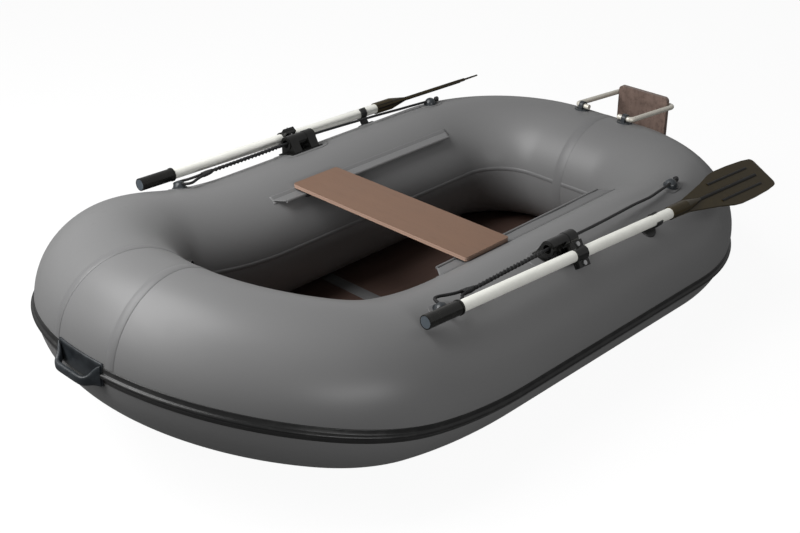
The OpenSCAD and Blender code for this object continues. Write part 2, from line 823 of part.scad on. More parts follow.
// Clip that holds the stowed oar
clip_x = lock_x - clip_dist * cos(oar_rest);
clip_y = pin_y + clip_dist * sin(oar_rest) * sin(pin_lean);
clip_z = pin_z - clip_dist * sin(oar_rest) * cos(pin_lean);
clip_angle = atan2(clip_z - axis_z, clip_y - half_beam);
clip_h = norm([clip_z - axis_z, clip_y - half_beam]);
module oar_clip() {
  bore = shaft_d + 2;
  wall = 4;
  pad_d = 56;
  pad_t = 3;
  stem = 16;
  color(black_rubber) on_side(clip_x, clip_angle) difference() {
    union() {
      translate([0, 0, clip_h]) x_rod(bore + 2 * wall, -clip_w / 2, clip_w / 2);
      translate([-clip_w / 2, -stem / 2, tube_r]) cube([clip_w, stem, clip_h - tube_r]);
      intersection() {
        translate([0, 0, tube_r - pad_d / 2]) cylinder(d = pad_d, h = pad_d);
        x_rod(2 * (tube_r + pad_t), -pad_d, pad_d);
      }
    }
    x_rod(2 * tube_r, -pad_d, pad_d);
    translate([0, 0, clip_h]) x_rod(bore, -clip_w, clip_w);
    translate([-clip_w, -0.42 * bore, clip_h]) cube([2 * clip_w, 0.84 * bore, bore]);
  }
}
module port_oar_clip() {
  oar_clip();
}
module starboard_oar_clip() {
  mirror([0, 1, 0]) oar_clip();
}

// Grab lines and their eyelets
patch_len = 76;
patch_wide = 52;
module eyelet(across) {
  hole = line_d + 2 * eye_gap;
  difference() {
    union() {
      translate([0, 0, tube_r - 4]) cylinder(r = eye_r + 3, h = 8);
      translate([0, 0, tube_r + 4]) sphere(eye_r);
    }
    translate([0, 0, tube_r + patch_t + eye_rise]) rotate([0, 0, across ? 90 : 0])
      x_rod(hole, -2 * eye_r, 2 * eye_r);
  }
}
module line_eyelets() {
  color(nylon_black) both_sides() {
    difference() {
      on_bend(eye_fore_turn, eye_fore_angle) eyelet(true);
      sheer_bend() disc(tube_r + patch_t + glue_line);
    }
    difference() {
      on_corner(eye_aft_turn, eye_aft_angle) eyelet(false);
      stern_corner() disc(tube_r + patch_t + glue_line);
    }
  }
}
module patch_prism() {
  translate([0, 0, tube_r - patch_wide / 2]) linear_extrude(patch_wide) stadium(patch_len, patch_wide);
}
module glued_patches() {
  color(fabric_grey) both_sides() {
    oarlock_patch();
    intersection() {
      sheer_bend() band_section(patch_t, 2 * patch_wide, eye_fore_angle);
      on_bend(eye_fore_turn, eye_fore_angle) patch_prism();
    }
    intersection() {
      stern_corner() band_section(patch_t, 2 * patch_wide, eye_aft_angle);
      on_corner(eye_aft_turn, eye_aft_angle) patch_prism();
    }
  }
}
// Places of the eyelet holes, and the directions of the line through them
fore_tilt = [
  -sin(eye_fore_turn) * sin(eye_fore_angle),
  cos(eye_fore_angle),
  cos(eye_fore_turn) * sin(eye_fore_angle)];
fore_axis = [
  side_fore_x + sheer_r * sin(eye_fore_turn),
  half_beam,
  axis_z + sheer_r * (1 - cos(eye_fore_turn))];
fore_eye = fore_axis + (tube_r + patch_t + eye_rise) * fore_tilt;
fore_run = [
  sin(eye_fore_turn) * cos(eye_fore_angle),
  sin(eye_fore_angle),
  -cos(eye_fore_turn) * cos(eye_fore_angle)];
aft_reach = stern_r + (tube_r + patch_t + eye_rise) * cos(eye_aft_angle);
aft_eye = [
  side_aft_x - aft_reach * sin(eye_aft_turn),
  half_beam - stern_r + aft_reach * cos(eye_aft_turn),
  axis_z + (tube_r + patch_t + eye_rise) * sin(eye_aft_angle)];
aft_run = [cos(eye_aft_turn), sin(eye_aft_turn), 0];
lock_mid = [lock_x, lock_y, lock_z];
// Route of the port line: from the splice through the fore eyelet and back to the splice,
// then through the oarlock barrel and the aft eyelet to its stopper knot
line_route = [
  fore_eye + [-84, -11, 6],
  fore_eye + [-64, -15, 6],
  fore_eye + [-44, -22, 6.5],
  fore_eye + [-26, -30, 7],
  fore_eye + [-12, -32, 8],
  fore_eye + [-3, -27, 8],
  fore_eye - 15 * fore_run,
  fore_eye,
  fore_eye + 15 * fore_run,
  fore_eye + [-3, 27, -9],
  fore_eye + [-12, 33, -11],
  fore_eye + [-26, 29, -9],
  fore_eye + [-44, 16, -4],
  fore_eye + [-64, 4, 2],
  fore_eye + [-84, -1, 5],
  lock_mid + [200, 0.5, -1],
  lock_mid + [130, 0, -1],
  lock_mid + [60, 0, 0],
  lock_mid,
  lock_mid + [-60, 0, 0],
  lock_mid + [-150, -2, -3],
  lock_mid + [-240, -6, -6],
  lock_mid + [-330, -11, -9],
  aft_eye + 130 * aft_run + [0, -3, 1],
  aft_eye + 75 * aft_run + [0, -1, 0.5],
  aft_eye + 30 * aft_run,
  aft_eye,
  aft_eye - 17 * aft_run
];
// The stopper knot, as distance along its own length and radius
knot = [[3, 7], [7, 9], [11, 9], [15, 7], [18, 3]];
line_sides = 10;
line_rings_per_span = 2;
function mid_point(p, i, t) =
  let (n = len(p) - 1, a = p[max(i - 1, 0)], b = p[i], c = p[min(i + 1, n)], d = p[min(i + 2, n)])
  0.5 * (2 * b + (c - a) * t + (2 * a - 5 * b + 4 * c - d) * t * t
    + (3 * b - a - 3 * c + d) * t * t * t);
function smooth_route(p, k) =
  concat([for (i = [0:len(p) - 2], j = [0:k - 1]) mid_point(p, i, j / k)], [p[len(p) - 1]]);
function unit(v) = v / norm(v);
function run_of(p, i) = unit(p[min(i + 1, len(p) - 1)] - p[max(i - 1, 0)]);
module cord(p, r) {
  n = len(p);
  m = line_sides;
  points = [for (i = [0:n - 1])
    let (run = run_of(p, i), side = unit(cross(run, [0.2, 0.1, 1])), up = cross(side, run))
    for (j = [0:m - 1]) p[i] + r[i] * (cos(j * 360 / m) * side + sin(j * 360 / m) * up)];
  faces = concat(
    [for (j = [1:m - 2]) [0, j + 1, j]],
    [for (j = [1:m - 2]) [(n - 1) * m, (n - 1) * m + j, (n - 1) * m + j + 1]],
    [for (i = [0:n - 2], j = [0:m - 1], k = [0, 1])
      let (a = i * m + j, b = i * m + (j + 1) % m)
      k == 0 ? [a, b, b + m] : [a, b + m, a + m]]);
  polyhedron(points, faces);
}
module grab_line() {
  line = smooth_route(line_route, line_rings_per_span);
  last = line[len(line) - 1];
  route = concat(line, [for (k = knot) last - k[0] * aft_run]);
  radii = concat([for (q = line) line_d / 2], [for (k = knot) k[1]]);
  color(black_rubber) cord(route, radii);
}
module port_grab_line() {
  grab_line();
}
module starboard_grab_line() {
  mirror([0, 1, 0]) grab_line();
}

// Air valves on the inner face of the bow
valve_flange_t = 5;
flange_sink = 4;
stem_r = 4;
spider_t = 3;
bore_wall = 5;
module valve_body() {
  color(nylon_black) difference() {
    on_valve_parts();
    on_tip(valve_turn, valve_angle) {
      translate([0, 0, tube_r - valve_depth + spider_t])
        cylinder(r = valve_barrel_r - bore_wall, h = 2 * valve_depth);
      translate([0, 0, tube_r - valve_depth - 1]) cylinder(r = stem_r + run_gap, h = valve_depth);
    }
  }
}
module on_valve_parts() {
  difference() {
    on_tip(valve_turn, valve_angle) translate([0, 0, tube_r - flange_sink])
      cylinder(r = valve_flange_r, h = flange_sink + valve_flange_t);
    tip_arc(bow_seam_angle, tip_half) disc(tube_r);
  }
  on_tip(valve_turn, valve_angle) translate([0, 0, tube_r - valve_depth])
    cylinder(r = valve_barrel_r, h = valve_depth + valve_flange_t);
}
module valve_stem() {
  button_r = valve_barrel_r - bore_wall - 2;
  button_top = -2;
  button_h = 4;
  seat_t = 3;
  seat_gap = 0.3;
  color(steel) on_tip(valve_turn, valve_angle) {
    translate([0, 0, tube_r - valve_depth - seat_gap - seat_t])
      cylinder(r = stem_r, h = valve_depth + seat_gap + seat_t + button_top);
    translate([0, 0, tube_r + button_top - button_h]) cylinder(r = button_r, h = button_h);
    translate([0, 0, tube_r - valve_depth - seat_gap - seat_t])
      cylinder(r = valve_barrel_r - 2, h = seat_t);
  }
}
module valve_cap() {
  seat = valve_flange_t + 0.2;
  plug_r = valve_barrel_r - bore_wall - run_gap;
  plug_h = 4;
  wing_h = 7;
  color(nylon_black) on_tip(valve_turn, valve_angle) translate([0, 0, tube_r + seat]) {
    cylinder(r = valve_flange_r - 4, h = valve_cap_h);
    translate([0, 0, -plug_h]) cylinder(r = plug_r, h = plug_h);
    translate([-valve_flange_r + 8, -2.5, valve_cap_h]) cube([2 * valve_flange_r - 16, 5, wing_h]);
  }
}
module valve_bodies() {
  both_sides() valve_body();
}
module port_valve_stem() {
  valve_stem();
}
module starboard_valve_stem() {
  mirror([0, 1, 0]) valve_stem();
}
module port_valve_cap() {
  valve_cap();
}
module starboard_valve_cap() {
  mirror([0, 1, 0]) valve_cap();
}

// Motor bracket
eye_axis_rise = 13;
eye_lug_t = 14;
elbow_r = 14;
corner_r = 15;
bracket_fit = 0.2;
plate_x = transom_x - tube_r - plate_gap;
cross_x = plate_x - plate_t - bracket_d / 2 - 0.8;
arm_y = bracket_eye_y + eye_lug_t / 2 + 1 + elbow_r;
function hundredth(v) = round(100 * v) / 100;
function eye_x(angle) = hundredth(transom_x - (tube_r + eye_axis_rise) * cos(angle));
function eye_z(angle) = hundredth(axis_z + (tube_r + eye_axis_rise) * sin(angle));
function tube_tilt(angle) = angle > 0 ? bracket_tilt : 0;
function arm_reach(angle) = hundredth((eye_x(angle) - cross_x) / cos(tube_tilt(angle)));
function cross_z(angle) = hundredth(eye_z(angle) - arm_reach(angle) * sin(tube_tilt(angle)));
module transom_plate() {
  r = 14;
  color(plate_brown) difference() {
    translate([plate_x - plate_t, 0, (plate_top_z + plate_low_z) / 2]) rotate([90, 0, 90])
      linear_extrude(plate_t) rounded_rect(plate_w, plate_top_z - plate_low_z, r);
    at_bracket_bolts() rotate([0, 90, 0]) translate([0, 0, -1]) cylinder(d = bolt_d, h = bolt_hold + 1);
  }
}
module bracket_tube(angle) {
  stub_end = bracket_eye_y - eye_lug_t / 2 - 18;
  reach = arm_reach(angle);
  color(bare_alloy) translate([eye_x(angle), 0, eye_z(angle)]) rotate([0, -tube_tilt(angle), 0]) {
    both_sides() {
      translate([0, stub_end, 0]) rotate([-90, 0, 0])
        cylinder(d = bracket_d, h = arm_y - elbow_r - stub_end);
      translate([-elbow_r, arm_y - elbow_r, 0]) rotate_extrude(angle = 90)
        translate([elbow_r, 0]) circle(d = bracket_d);
      translate([0, arm_y, 0]) x_rod(bracket_d, corner_r - reach, -elbow_r);
      translate([corner_r - reach, arm_y - corner_r, 0]) rotate([0, 0, 90])
        rotate_extrude(angle = 90) translate([corner_r, 0]) circle(d = bracket_d);
    }
    translate([-reach, corner_r - arm_y, 0]) rotate([-90, 0, 0])
      cylinder(d = bracket_d, h = 2 * (arm_y - corner_r));
  }
}
module upper_bracket_tube() {
  bracket_tube(bracket_up_angle);
}
module lower_bracket_tube() {
  bracket_tube(bracket_low_angle);
}
module bracket_eyelets() {
  wall = 6;
  foot_r = 24;
  foot_t = 4;
  color(black_rubber) both_sides() for (angle = [bracket_up_angle, bracket_low_angle])
    difference() {
      on_transom(bracket_eye_y, angle) {
        translate([0, eye_lug_t / 2, tube_r + eye_axis_rise]) rotate([90, 0, 0])
          cylinder(d = bracket_d + 2 * wall, h = eye_lug_t);
        translate([-bracket_d / 2 - wall, -eye_lug_t / 2, tube_r - 4])
          cube([bracket_d + 2 * wall, eye_lug_t, eye_axis_rise + 4]);
        intersection() {
          translate([0, 0, tube_r - foot_r]) cylinder(r = foot_r, h = 2 * foot_r);
          rotate([90, 0, 0]) cylinder(r = tube_r + foot_t, h = 4 * foot_r, center = true);
        }
      }
      on_transom(bracket_eye_y, angle) {
        rotate([90, 0, 0]) cylinder(r = tube_r, h = 4 * foot_r, center = true);
        translate([0, 0, tube_r + eye_axis_rise]) rotate([90, 0, 0])
          cylinder(d = bracket_d + 2 * bracket_fit, h = 4 * foot_r, center = true);
      }
    }
}
bolt_hold = 10;
saddle_y = 52;
saddle_half = bracket_d / 2 + 10;
strap = 3;
module at_bracket_bolts() {
  both_sides() for (angle = [bracket_up_angle, bracket_low_angle], up = [-1, 1])
    translate([plate_x - plate_t, saddle_y, cross_z(angle) + up * saddle_half]) children();
}
module bracket_saddles() {
  wide = 18;
  color(steel) both_sides() for (angle = [bracket_up_angle, bracket_low_angle])
    difference() {
      union() {
        translate([cross_x, saddle_y + wide / 2, cross_z(angle)]) rotate([90, 0, 0])
          cylinder(d = bracket_d + 2 * strap, h = wide);
        translate([plate_x - plate_t - strap, saddle_y - wide / 2, cross_z(angle) - saddle_half - 7])
          cube([strap, wide, 2 * saddle_half + 14]);
      }
      translate([cross_x, saddle_y + wide, cross_z(angle)]) rotate([90, 0, 0])
        cylinder(d = bracket_d, h = 2 * wide);
      translate([cross_x, saddle_y - wide, cross_z(angle) - bracket_d / 2])
        cube([bracket_d, 2 * wide, bracket_d]);
      translate([plate_x - plate_t, saddle_y - wide, cross_z(angle) - 2 * bracket_d])
        cube([bracket_d, 2 * wide, 4 * bracket_d]);
      at_bracket_bolts() rotate([0, 90, 0]) translate([0, 0, -2 * strap])
        cylinder(d = bolt_d, h = 3 * strap);
    }
}
module bracket_bolts() {
  head_h = 4;
  color(steel) at_bracket_bolts() rotate([0, 90, 0]) {
    translate([0, 0, -strap]) cylinder(d = bolt_d, h = bolt_hold + strap);
    translate([0, 0, -strap - head_h]) cylinder(d = 1.8 * bolt_d, h = head_h, $fn = 6);
  }
}

bow_panel();
port_bow_tube();
starboard_bow_tube();
shoulder_tubes();
sheer_tubes();
side_tubes();
stern_corner_tubes();
chamber_bulkheads();
seam_tapes();
glued_patches();
bottom_skin();
rub_strake();
handle_plate();
bow_handle();
floor_bow_board();
floor_fore_board();
floor_mid_board();
floor_aft_board();
floor_hinges();
seat_rails();
rail_ropes();
port_oarlock_base();
starboard_oarlock_base();
line_eyelets();
port_grab_line();
starboard_grab_line();
port_oar_clip();
starboard_oar_clip();
valve_bodies();
port_valve_stem();
starboard_valve_stem();
port_valve_cap();
starboard_valve_cap();
transom_plate();
upper_bracket_tube();
lower_bracket_tube();
bracket_eyelets();
bracket_saddles();
bracket_bolts();
seat_board();
seat_channels();
seat_screws();
port_oar_swivel();
starboard_oar_swivel();
port_oar_shaft();
starboard_oar_shaft();
port_oar_grip();
starboard_oar_grip();
port_oar_plug();
starboard_oar_plug();
port_oar_blade();
starboard_oar_blade();
port_clamp_base();
starboard_clamp_base();
port_clamp_cap();
starboard_clamp_cap();
port_clamp_bolts();
starboard_clamp_bolts();
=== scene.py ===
# %% [markdown]
# # An inflatable rowing dinghy
# The boat is a ring of coated fabric tube with a plywood floor, a sliding seat, two oars stowed
# along the tubes and a motor bracket behind the stern. The rigid solids come from the packed
# frame and keep their shape. Everything that is fabric, rubber or cord is modelled again here,
# because a drawn solid has no soft edges, no weave and no hems.

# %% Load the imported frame
import bpy
import bmesh
from math import atan2, cos, pi, radians, sin, sqrt
from mathutils import Matrix, Vector


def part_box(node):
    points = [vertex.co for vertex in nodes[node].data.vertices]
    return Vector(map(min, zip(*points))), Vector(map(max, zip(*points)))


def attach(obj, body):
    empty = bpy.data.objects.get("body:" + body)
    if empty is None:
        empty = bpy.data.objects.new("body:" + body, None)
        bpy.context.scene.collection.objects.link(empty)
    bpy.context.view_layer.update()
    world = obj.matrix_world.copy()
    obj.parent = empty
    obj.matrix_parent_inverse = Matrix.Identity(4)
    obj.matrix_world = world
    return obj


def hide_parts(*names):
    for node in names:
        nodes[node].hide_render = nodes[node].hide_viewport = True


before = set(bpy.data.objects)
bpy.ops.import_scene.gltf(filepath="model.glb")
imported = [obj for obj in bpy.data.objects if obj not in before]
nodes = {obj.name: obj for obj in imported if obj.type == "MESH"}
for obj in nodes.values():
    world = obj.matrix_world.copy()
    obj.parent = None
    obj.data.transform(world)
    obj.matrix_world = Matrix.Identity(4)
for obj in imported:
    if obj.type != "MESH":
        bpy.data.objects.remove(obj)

scene = bpy.context.scene
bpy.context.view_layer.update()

# %% [markdown]
# ## The camera
# The photograph looks down on the bow from the port side. The place of the camera was fitted to
# the seat's corners, the oars and the hull's outline, so the picture needs no shift.

# %% Camera
photo_eye = Vector((2.3410, 2.2623, 1.8799))
photo_aim = Vector((0.0021, -0.0235, 0.1680))
lens = bpy.data.cameras.new("photo_camera")
lens.lens = 59.25
lens.sensor_width = 36
lens.clip_end = 100
camera = bpy.data.objects.new("photo_camera", lens)
camera.location = photo_eye
camera.rotation_euler = (photo_aim - photo_eye).to_track_quat("-Z", "Y").to_euler()
scene.collection.objects.link(camera)
scene.camera = camera
print("camera is", round((photo_aim - photo_eye).length, 3), "m away")

# %% [markdown]
# ## Sizes of the hull, and frames on its tube
# The tube follows arcs that touch each other: a level side, an upward bend, a shoulder and the bow
# tip in one pitched plane, and a round stern corner. A station is a matrix at one place on this
# line. Its x points outward from the tube's axis, its y up, and its z along the tube.

# %% Hull line
tube_r = 0.190
half_beam = 0.429
skin_t = 0.0012
axis_z = skin_t + tube_r
side_fore = 0.215
side_aft = -0.531
sheer_r = 1.2
sheer = radians(15)
shoulder_r = 0.254
shoulder = radians(35)
stern_r = 0.325
transom_x = side_aft - stern_r
transom_half = half_beam - stern_r
bow_x = side_fore + sheer_r * sin(sheer)
bow_z = axis_z + sheer_r * (1 - cos(sheer))
tip_r = (half_beam - shoulder_r * (1 - cos(shoulder))) / cos(shoulder)
tip_x = (shoulder_r - tip_r) * sin(shoulder)
tip_half = pi / 2 - shoulder
strake_drop = radians(13)
stand_up = Matrix.Rotation(pi / 2, 4, "X")
bow_plane = Matrix.Translation((bow_x, 0, bow_z)) @ Matrix.Rotation(-sheer, 4, "Y")
bow_up = bow_plane.to_3x3() @ Vector((0, 0, 1))
tip_centre = bow_plane @ Vector((tip_x, 0, 0))
shoulder_centre = bow_plane @ Vector((0, half_beam - shoulder_r, 0))


def polar(r, turn):
    return Vector((r * cos(turn), r * sin(turn), 0))


def tip_station(turn):
    return (bow_plane @ Matrix.Translation((tip_x, 0, 0)) @ Matrix.Rotation(turn, 4, "Z")
            @ Matrix.Translation((tip_r, 0, 0)) @ stand_up)


def bend_station(turn):
    return (Matrix.Translation((side_fore, half_beam, axis_z + sheer_r))
            @ Matrix.Rotation(-turn, 4, "Y") @ Matrix.Translation((0, 0, -sheer_r))
            @ Matrix.Rotation(pi / 2, 4, "Z") @ stand_up)


def side_station(x):
    return Matrix.Translation((x, half_beam, axis_z)) @ Matrix.Rotation(pi / 2, 4, "Z") @ stand_up


def corner_station(turn):
    return (Matrix.Translation((side_aft, transom_half, axis_z)) @ Matrix.Rotation(turn, 4, "Z")
            @ Matrix.Translation((0, stern_r, 0)) @ Matrix.Rotation(pi / 2, 4, "Z") @ stand_up)


def transom_station(y):
    return Matrix.Translation((transom_x, y, axis_z)) @ Matrix.Rotation(pi, 4, "Z") @ stand_up


print("bow tip centre", [round(c, 3) for c in tip_station(0).translation])

# %% [markdown]
# ## Helpers for meshes
# A piece is made in a bmesh, joined at its seams, given outward normals and smooth shading, and
# put at the origin with its place in its mesh, as the frame's own nodes are. Most shapes here are a
# flat section that is spun or pushed along a line. A modifier stack could do the same, but a bmesh
# operator gives back the edges of its last step, so that the next arc can go on from there.

# %% Mesh helpers
def make_piece(bm, name, body, stands_for=(), weld=2e-5, crisp=pi):
    if weld:
        bmesh.ops.remove_doubles(bm, verts=bm.verts, dist=weld)
    bmesh.ops.recalc_face_normals(bm, faces=bm.faces)
    for face in bm.faces:
        face.smooth = True
    for edge in bm.edges:
        if edge.calc_face_angle(0) > crisp:
            edge.smooth = False
    mesh = bpy.data.meshes.new(name)
    bm.to_mesh(mesh)
    bm.free()
    piece = bpy.data.objects.new(name, mesh)
    scene.collection.objects.link(piece)
    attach(piece, body)
    if stands_for:
        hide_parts(*stands_for)
    print(name, len(mesh.polygons), "faces")
    return piece


def spin_on(bm, geometry, centre, axis, angle, steps):
    made = bmesh.ops.spin(bm, geom=geometry, cent=centre, axis=axis, angle=angle, steps=steps)
    return made["geom_last"]


def push_on(bm, geometry, step, steps):
    made = bmesh.ops.spin(bm, geom=geometry, cent=(0, 0, 0), axis=(0, 0, 1), angle=0,
                          dvec=step, steps=steps)
    return made["geom_last"]


def outline(bm, points, place):
    verts = [bm.verts.new(place @ Vector((p[0], p[1], 0))) for p in points]
    edges = [bm.edges.new(pair) for pair in zip(verts, verts[1:] + verts[:1])]
    return verts + edges


def circle_at(bm, segments, radius, place):
    verts = bmesh.ops.create_circle(bm, segments=segments, radius=radius, matrix=place)["verts"]
    return verts + list(dict.fromkeys(e for v in verts for e in v.link_edges))


def cap(bm, geometry):
    rim = [e for e in geometry if isinstance(e, bmesh.types.BMEdge)]
    bmesh.ops.contextual_create(bm, geom=rim)


def band_round(bm, section, station, low, high, steps):
    start = outline(bm, section, station @ Matrix.Rotation(low, 4, "Z") @ stand_up)
    axis = station.to_3x3() @ Vector((0, 0, 1))
    end = spin_on(bm, start, station.translation, axis, high - low, steps)
    cap(bm, start)
    cap(bm, end)


def close_ends(bm):
    rims = [e for e in bm.edges if e.is_boundary]
    bmesh.ops.holes_fill(bm, edges=rims, sides=80)
    for edge in rims:
        edge.smooth = False
    return rims


def thicken(piece, thickness, offset):
    sheet = piece.modifiers.new("fabric thickness", "SOLIDIFY")
    sheet.thickness = thickness
    sheet.offset = offset


def mirror_to_starboard(bm):
    bmesh.ops.mirror(bm, geom=bm.verts[:] + bm.edges[:] + bm.faces[:],
                     matrix=Matrix.Identity(4), merge_dist=1e-5, axis="Y")


def on_both_sides(make):
    for side, hand in (("port", 1), ("starboard", -1)):
        make(side, hand)


def to_hand(bm, hand):
    if hand < 0:
        bmesh.ops.scale(bm, vec=(1, -1, 1), verts=bm.verts)


def along_hull(bm, geometry, start_turn):
    line = spin_on(bm, geometry, tip_centre, bow_up, tip_half - start_turn, 30)
    line = spin_on(bm, line, shoulder_centre, bow_up, shoulder, 14)
    line = spin_on(bm, line, (side_fore, 0, axis_z + sheer_r), (0, 1, 0), sheer, 14)
    line = push_on(bm, line, ((side_aft - side_fore) / 30, 0, 0), 30)
    line = spin_on(bm, line, (side_aft, transom_half, axis_z), (0, 0, 1), pi / 2, 36)
    return push_on(bm, line, (0, -transom_half / 5, 0), 5)


# %% [markdown]
# ## The grab lines
# Each grab line is a thin braided cord. Its fore end is spliced into an eye through the fore
# eyelet, it passes through the hollow barrel of the oarlock, and a stopper knot holds it behind the
# aft eyelet. The route repeats the points of the solid, smoothed by the same curve. A circle pushed
# along it by hand would twist at the eye; a curve with a round bevel keeps the cord even, and is
# turned into a mesh at the end.

# %% Grab line route
line_d = 0.008
patch_lift, hole_h = 0.0012, 0.011
hole_rise = tube_r + patch_lift + hole_h
fore_turn, fore_angle = radians(10.1), radians(71.4)
aft_turn, aft_angle = radians(8.2), radians(80)
fore_eye = bend_station(fore_turn) @ polar(hole_rise, fore_angle)
fore_run = bend_station(fore_turn).to_3x3() @ Vector((sin(fore_angle), -cos(fore_angle), 0))
aft_eye = corner_station(aft_turn) @ polar(hole_rise, aft_angle)
aft_run = polar(1, aft_turn)
lock_x, lock_rise, lock_angle = -0.045, 0.222, radians(74.2)
lock_mid = side_station(lock_x) @ polar(lock_rise, lock_angle)


def mm(x, y, z):
    return Vector((x, y, z)) / 1000


line_route = [
    fore_eye + mm(-84, -11, 6), fore_eye + mm(-64, -15, 6), fore_eye + mm(-44, -22, 6.5),
    fore_eye + mm(-26, -30, 7), fore_eye + mm(-12, -32, 8), fore_eye + mm(-3, -27, 8),
    fore_eye - 0.015 * fore_run, fore_eye, fore_eye + 0.015 * fore_run,
    fore_eye + mm(-3, 27, -9), fore_eye + mm(-12, 33, -11), fore_eye + mm(-26, 29, -9),
    fore_eye + mm(-44, 16, -4), fore_eye + mm(-64, 4, 2), fore_eye + mm(-84, -1, 5),
    lock_mid + mm(200, 0.5, -1), lock_mid + mm(130, 0, -1), lock_mid + mm(60, 0, 0), lock_mid,
    lock_mid + mm(-60, 0, 0), lock_mid + mm(-150, -2, -3), lock_mid + mm(-240, -6, -6),
    lock_mid + mm(-330, -11, -9), aft_eye + 0.130 * aft_run + mm(0, -3, 1),
    aft_eye + 0.075 * aft_run + mm(0, -1, 0.5), aft_eye + 0.030 * aft_run, aft_eye,
    aft_eye - 0.017 * aft_run,
]


def smooth_line(points, rings):
    out = []
    last = len(points) - 1
    for i in range(last):
        a, b = points[max(i - 1, 0)], points[i]
        c, d = points[i + 1], points[min(i + 2, last)]
        for k in range(rings):
            t = k / rings
            out.append(0.5 * (2 * b + (c - a) * t + (2 * a - 5 * b + 4 * c - d) * t * t
                              + (3 * b - a - 3 * c + d) * t ** 3))
    return out + [points[-1]]


def line_length(points):
    return sum((q - p).length for p, q in zip(points, points[1:]))


# %% Grab lines
def tube_along(name, lines, diameter):
    curve = bpy.data.curves.new(name, "CURVE")
    curve.dimensions = "3D"
    curve.bevel_depth = diameter / 2
    curve.bevel_resolution = 3
    curve.use_fill_caps = True
    for points in lines:
        spline = curve.splines.new("POLY")
        spline.points.add(len(points) - 1)
        for place, p in zip(spline.points, points):
            place.co = (*p, 1)
    holder = bpy.data.objects.new(name + "_curve", curve)
    scene.collection.objects.link(holder)
    bpy.context.view_layer.update()
    evaluated = holder.evaluated_get(bpy.context.evaluated_depsgraph_get())
    mesh = bpy.data.meshes.new_from_object(evaluated)
    bpy.data.objects.remove(holder)
    bm = bmesh.new()
    bm.from_mesh(mesh)
    bpy.data.meshes.remove(mesh)
    return bm


grab_lines = {}
line_middle = smooth_line(line_route, 6)


def make_grab_line(side, hand):
    points = [Vector((p.x, hand * p.y, p.z)) for p in line_middle]
    bm = tube_along(side + "_grab_line", [points], line_d)
    cord = make_piece(bm, side + "_grab_line_cord", "hull", [side + "_grab_line"], weld=0)
    grab_lines[side] = (cord, points)


on_both_sides(make_grab_line)
print("grab line is", round(line_length(line_middle), 3), "m long")

# %% [markdown]
# ## Stopper knots and splices
# A knot is drawn as a turned ball with two wraps of cord round it. A cord that is really knotted
# would look the same at this size and need far more faces. The splice starts with a whipping of
# thin twine over both strands, and then two tucked strands wind round the line up to the oarlock.
# Each strand is a helix on the line that sinks into it at both ends.

# %% Knots and whippings
line_ends = {"port": [], "starboard": []}
knot_back, knot_r, knot_ring_r, knot_cord_r = 0.0265, 0.0076, 0.0062, 0.0028
whip_count, whip_full, whip_ring_r, twine_r = 9, 5, 0.0052, 0.0019
whip_wide, whip_taper, whip_round = 0.0102, 0.0013, 0.0068


def wrap_round(bm, place, ring_r, cord_r, segments, steps):
    rim = circle_at(bm, segments, cord_r, place @ Matrix.Translation((ring_r, 0, 0)) @ stand_up)
    bmesh.ops.spin(bm, geom=rim, cent=place.translation, axis=place.to_3x3() @ Vector((0, 0, 1)),
                   angle=2 * pi, steps=steps, use_merge=True)


def make_knot(side, hand):
    bm = bmesh.new()
    place = Matrix.Translation(aft_eye - knot_back * aft_run)
    bmesh.ops.create_uvsphere(bm, u_segments=28, v_segments=18, radius=knot_r, matrix=place)
    for lean in (-0.5, 0.55):
        turned = place @ Matrix.Rotation(pi / 2 + lean, 4, "Y")
        wrap_round(bm, turned, knot_ring_r, knot_cord_r, 12, 32)
    to_hand(bm, hand)
    line_ends[side].append(make_piece(bm, side + "_line_knot", "hull", weld=0))


def make_whipping(side, hand):
    bm = bmesh.new()
    a = fore_eye + mm(-78, -6, 5.3)
    b = (fore_eye + mm(-84, -1, 5)).lerp(lock_mid + mm(200, 0.5, -1), 0.18) + mm(0, -1, 0)
    for i in range(whip_count):
        centre = a.lerp(b, i / (whip_count - 1))
        wide = whip_wide - whip_taper * max(i + 1 - whip_full, 0)
        place = Matrix.Translation(centre) @ Matrix.Rotation(pi / 2, 4, "Y")
        wrap_round(bm, place, whip_ring_r, twine_r, 10, 28)
        for v in bm.verts:
            if abs(v.co.x - centre.x) < twine_r + 0.0002:
                v.co.y = centre.y + (v.co.y - centre.y) * wide / whip_round
    to_hand(bm, hand)
    line_ends[side].append(make_piece(bm, side + "_line_whipping", "hull", weld=0))


on_both_sides(make_knot)
on_both_sides(make_whipping)

# %% Splices
strand_d, strand_away, strand_pitch = 0.0054, 0.0036, 0.026
spliced = line_route[14:18]


def make_splice(side, hand):
    middle = smooth_line(spliced, 44)
    strands = []
    for start in (0, pi):
        strand = []
        for i, p in enumerate(middle):
            share = i / (len(middle) - 1)
            away = strand_away * min(1, 0.25 + 6 * share, 0.25 + 6 * (1 - share))
            turn = start + 2 * pi * (middle[0] - p).length / strand_pitch
            strand.append(Vector((p.x, hand * (p.y + away * cos(turn)), p.z + away * sin(turn))))
        strands.append(strand)
    bm = tube_along(side + "_splice", strands, strand_d)
    line_ends[side].append(make_piece(bm, side + "_line_splice", "hull", weld=0))


on_both_sides(make_splice)
for side in ("port", "starboard"):
    cord, points = grab_lines[side]
    line_length(points)

# %% [markdown]
# ## The hull tube
# Air makes the fabric a smooth round tube. One circle is set up at the bow tip and spun along the
# arcs of the hull line to the middle of the stern, then mirrored. One skin stands for all the
# glued panels, so no false crease shows where two arcs meet; the seams get their own tapes. A curve
# with a round bevel would make it in one step, but spun arcs end exactly at the mirror plane.

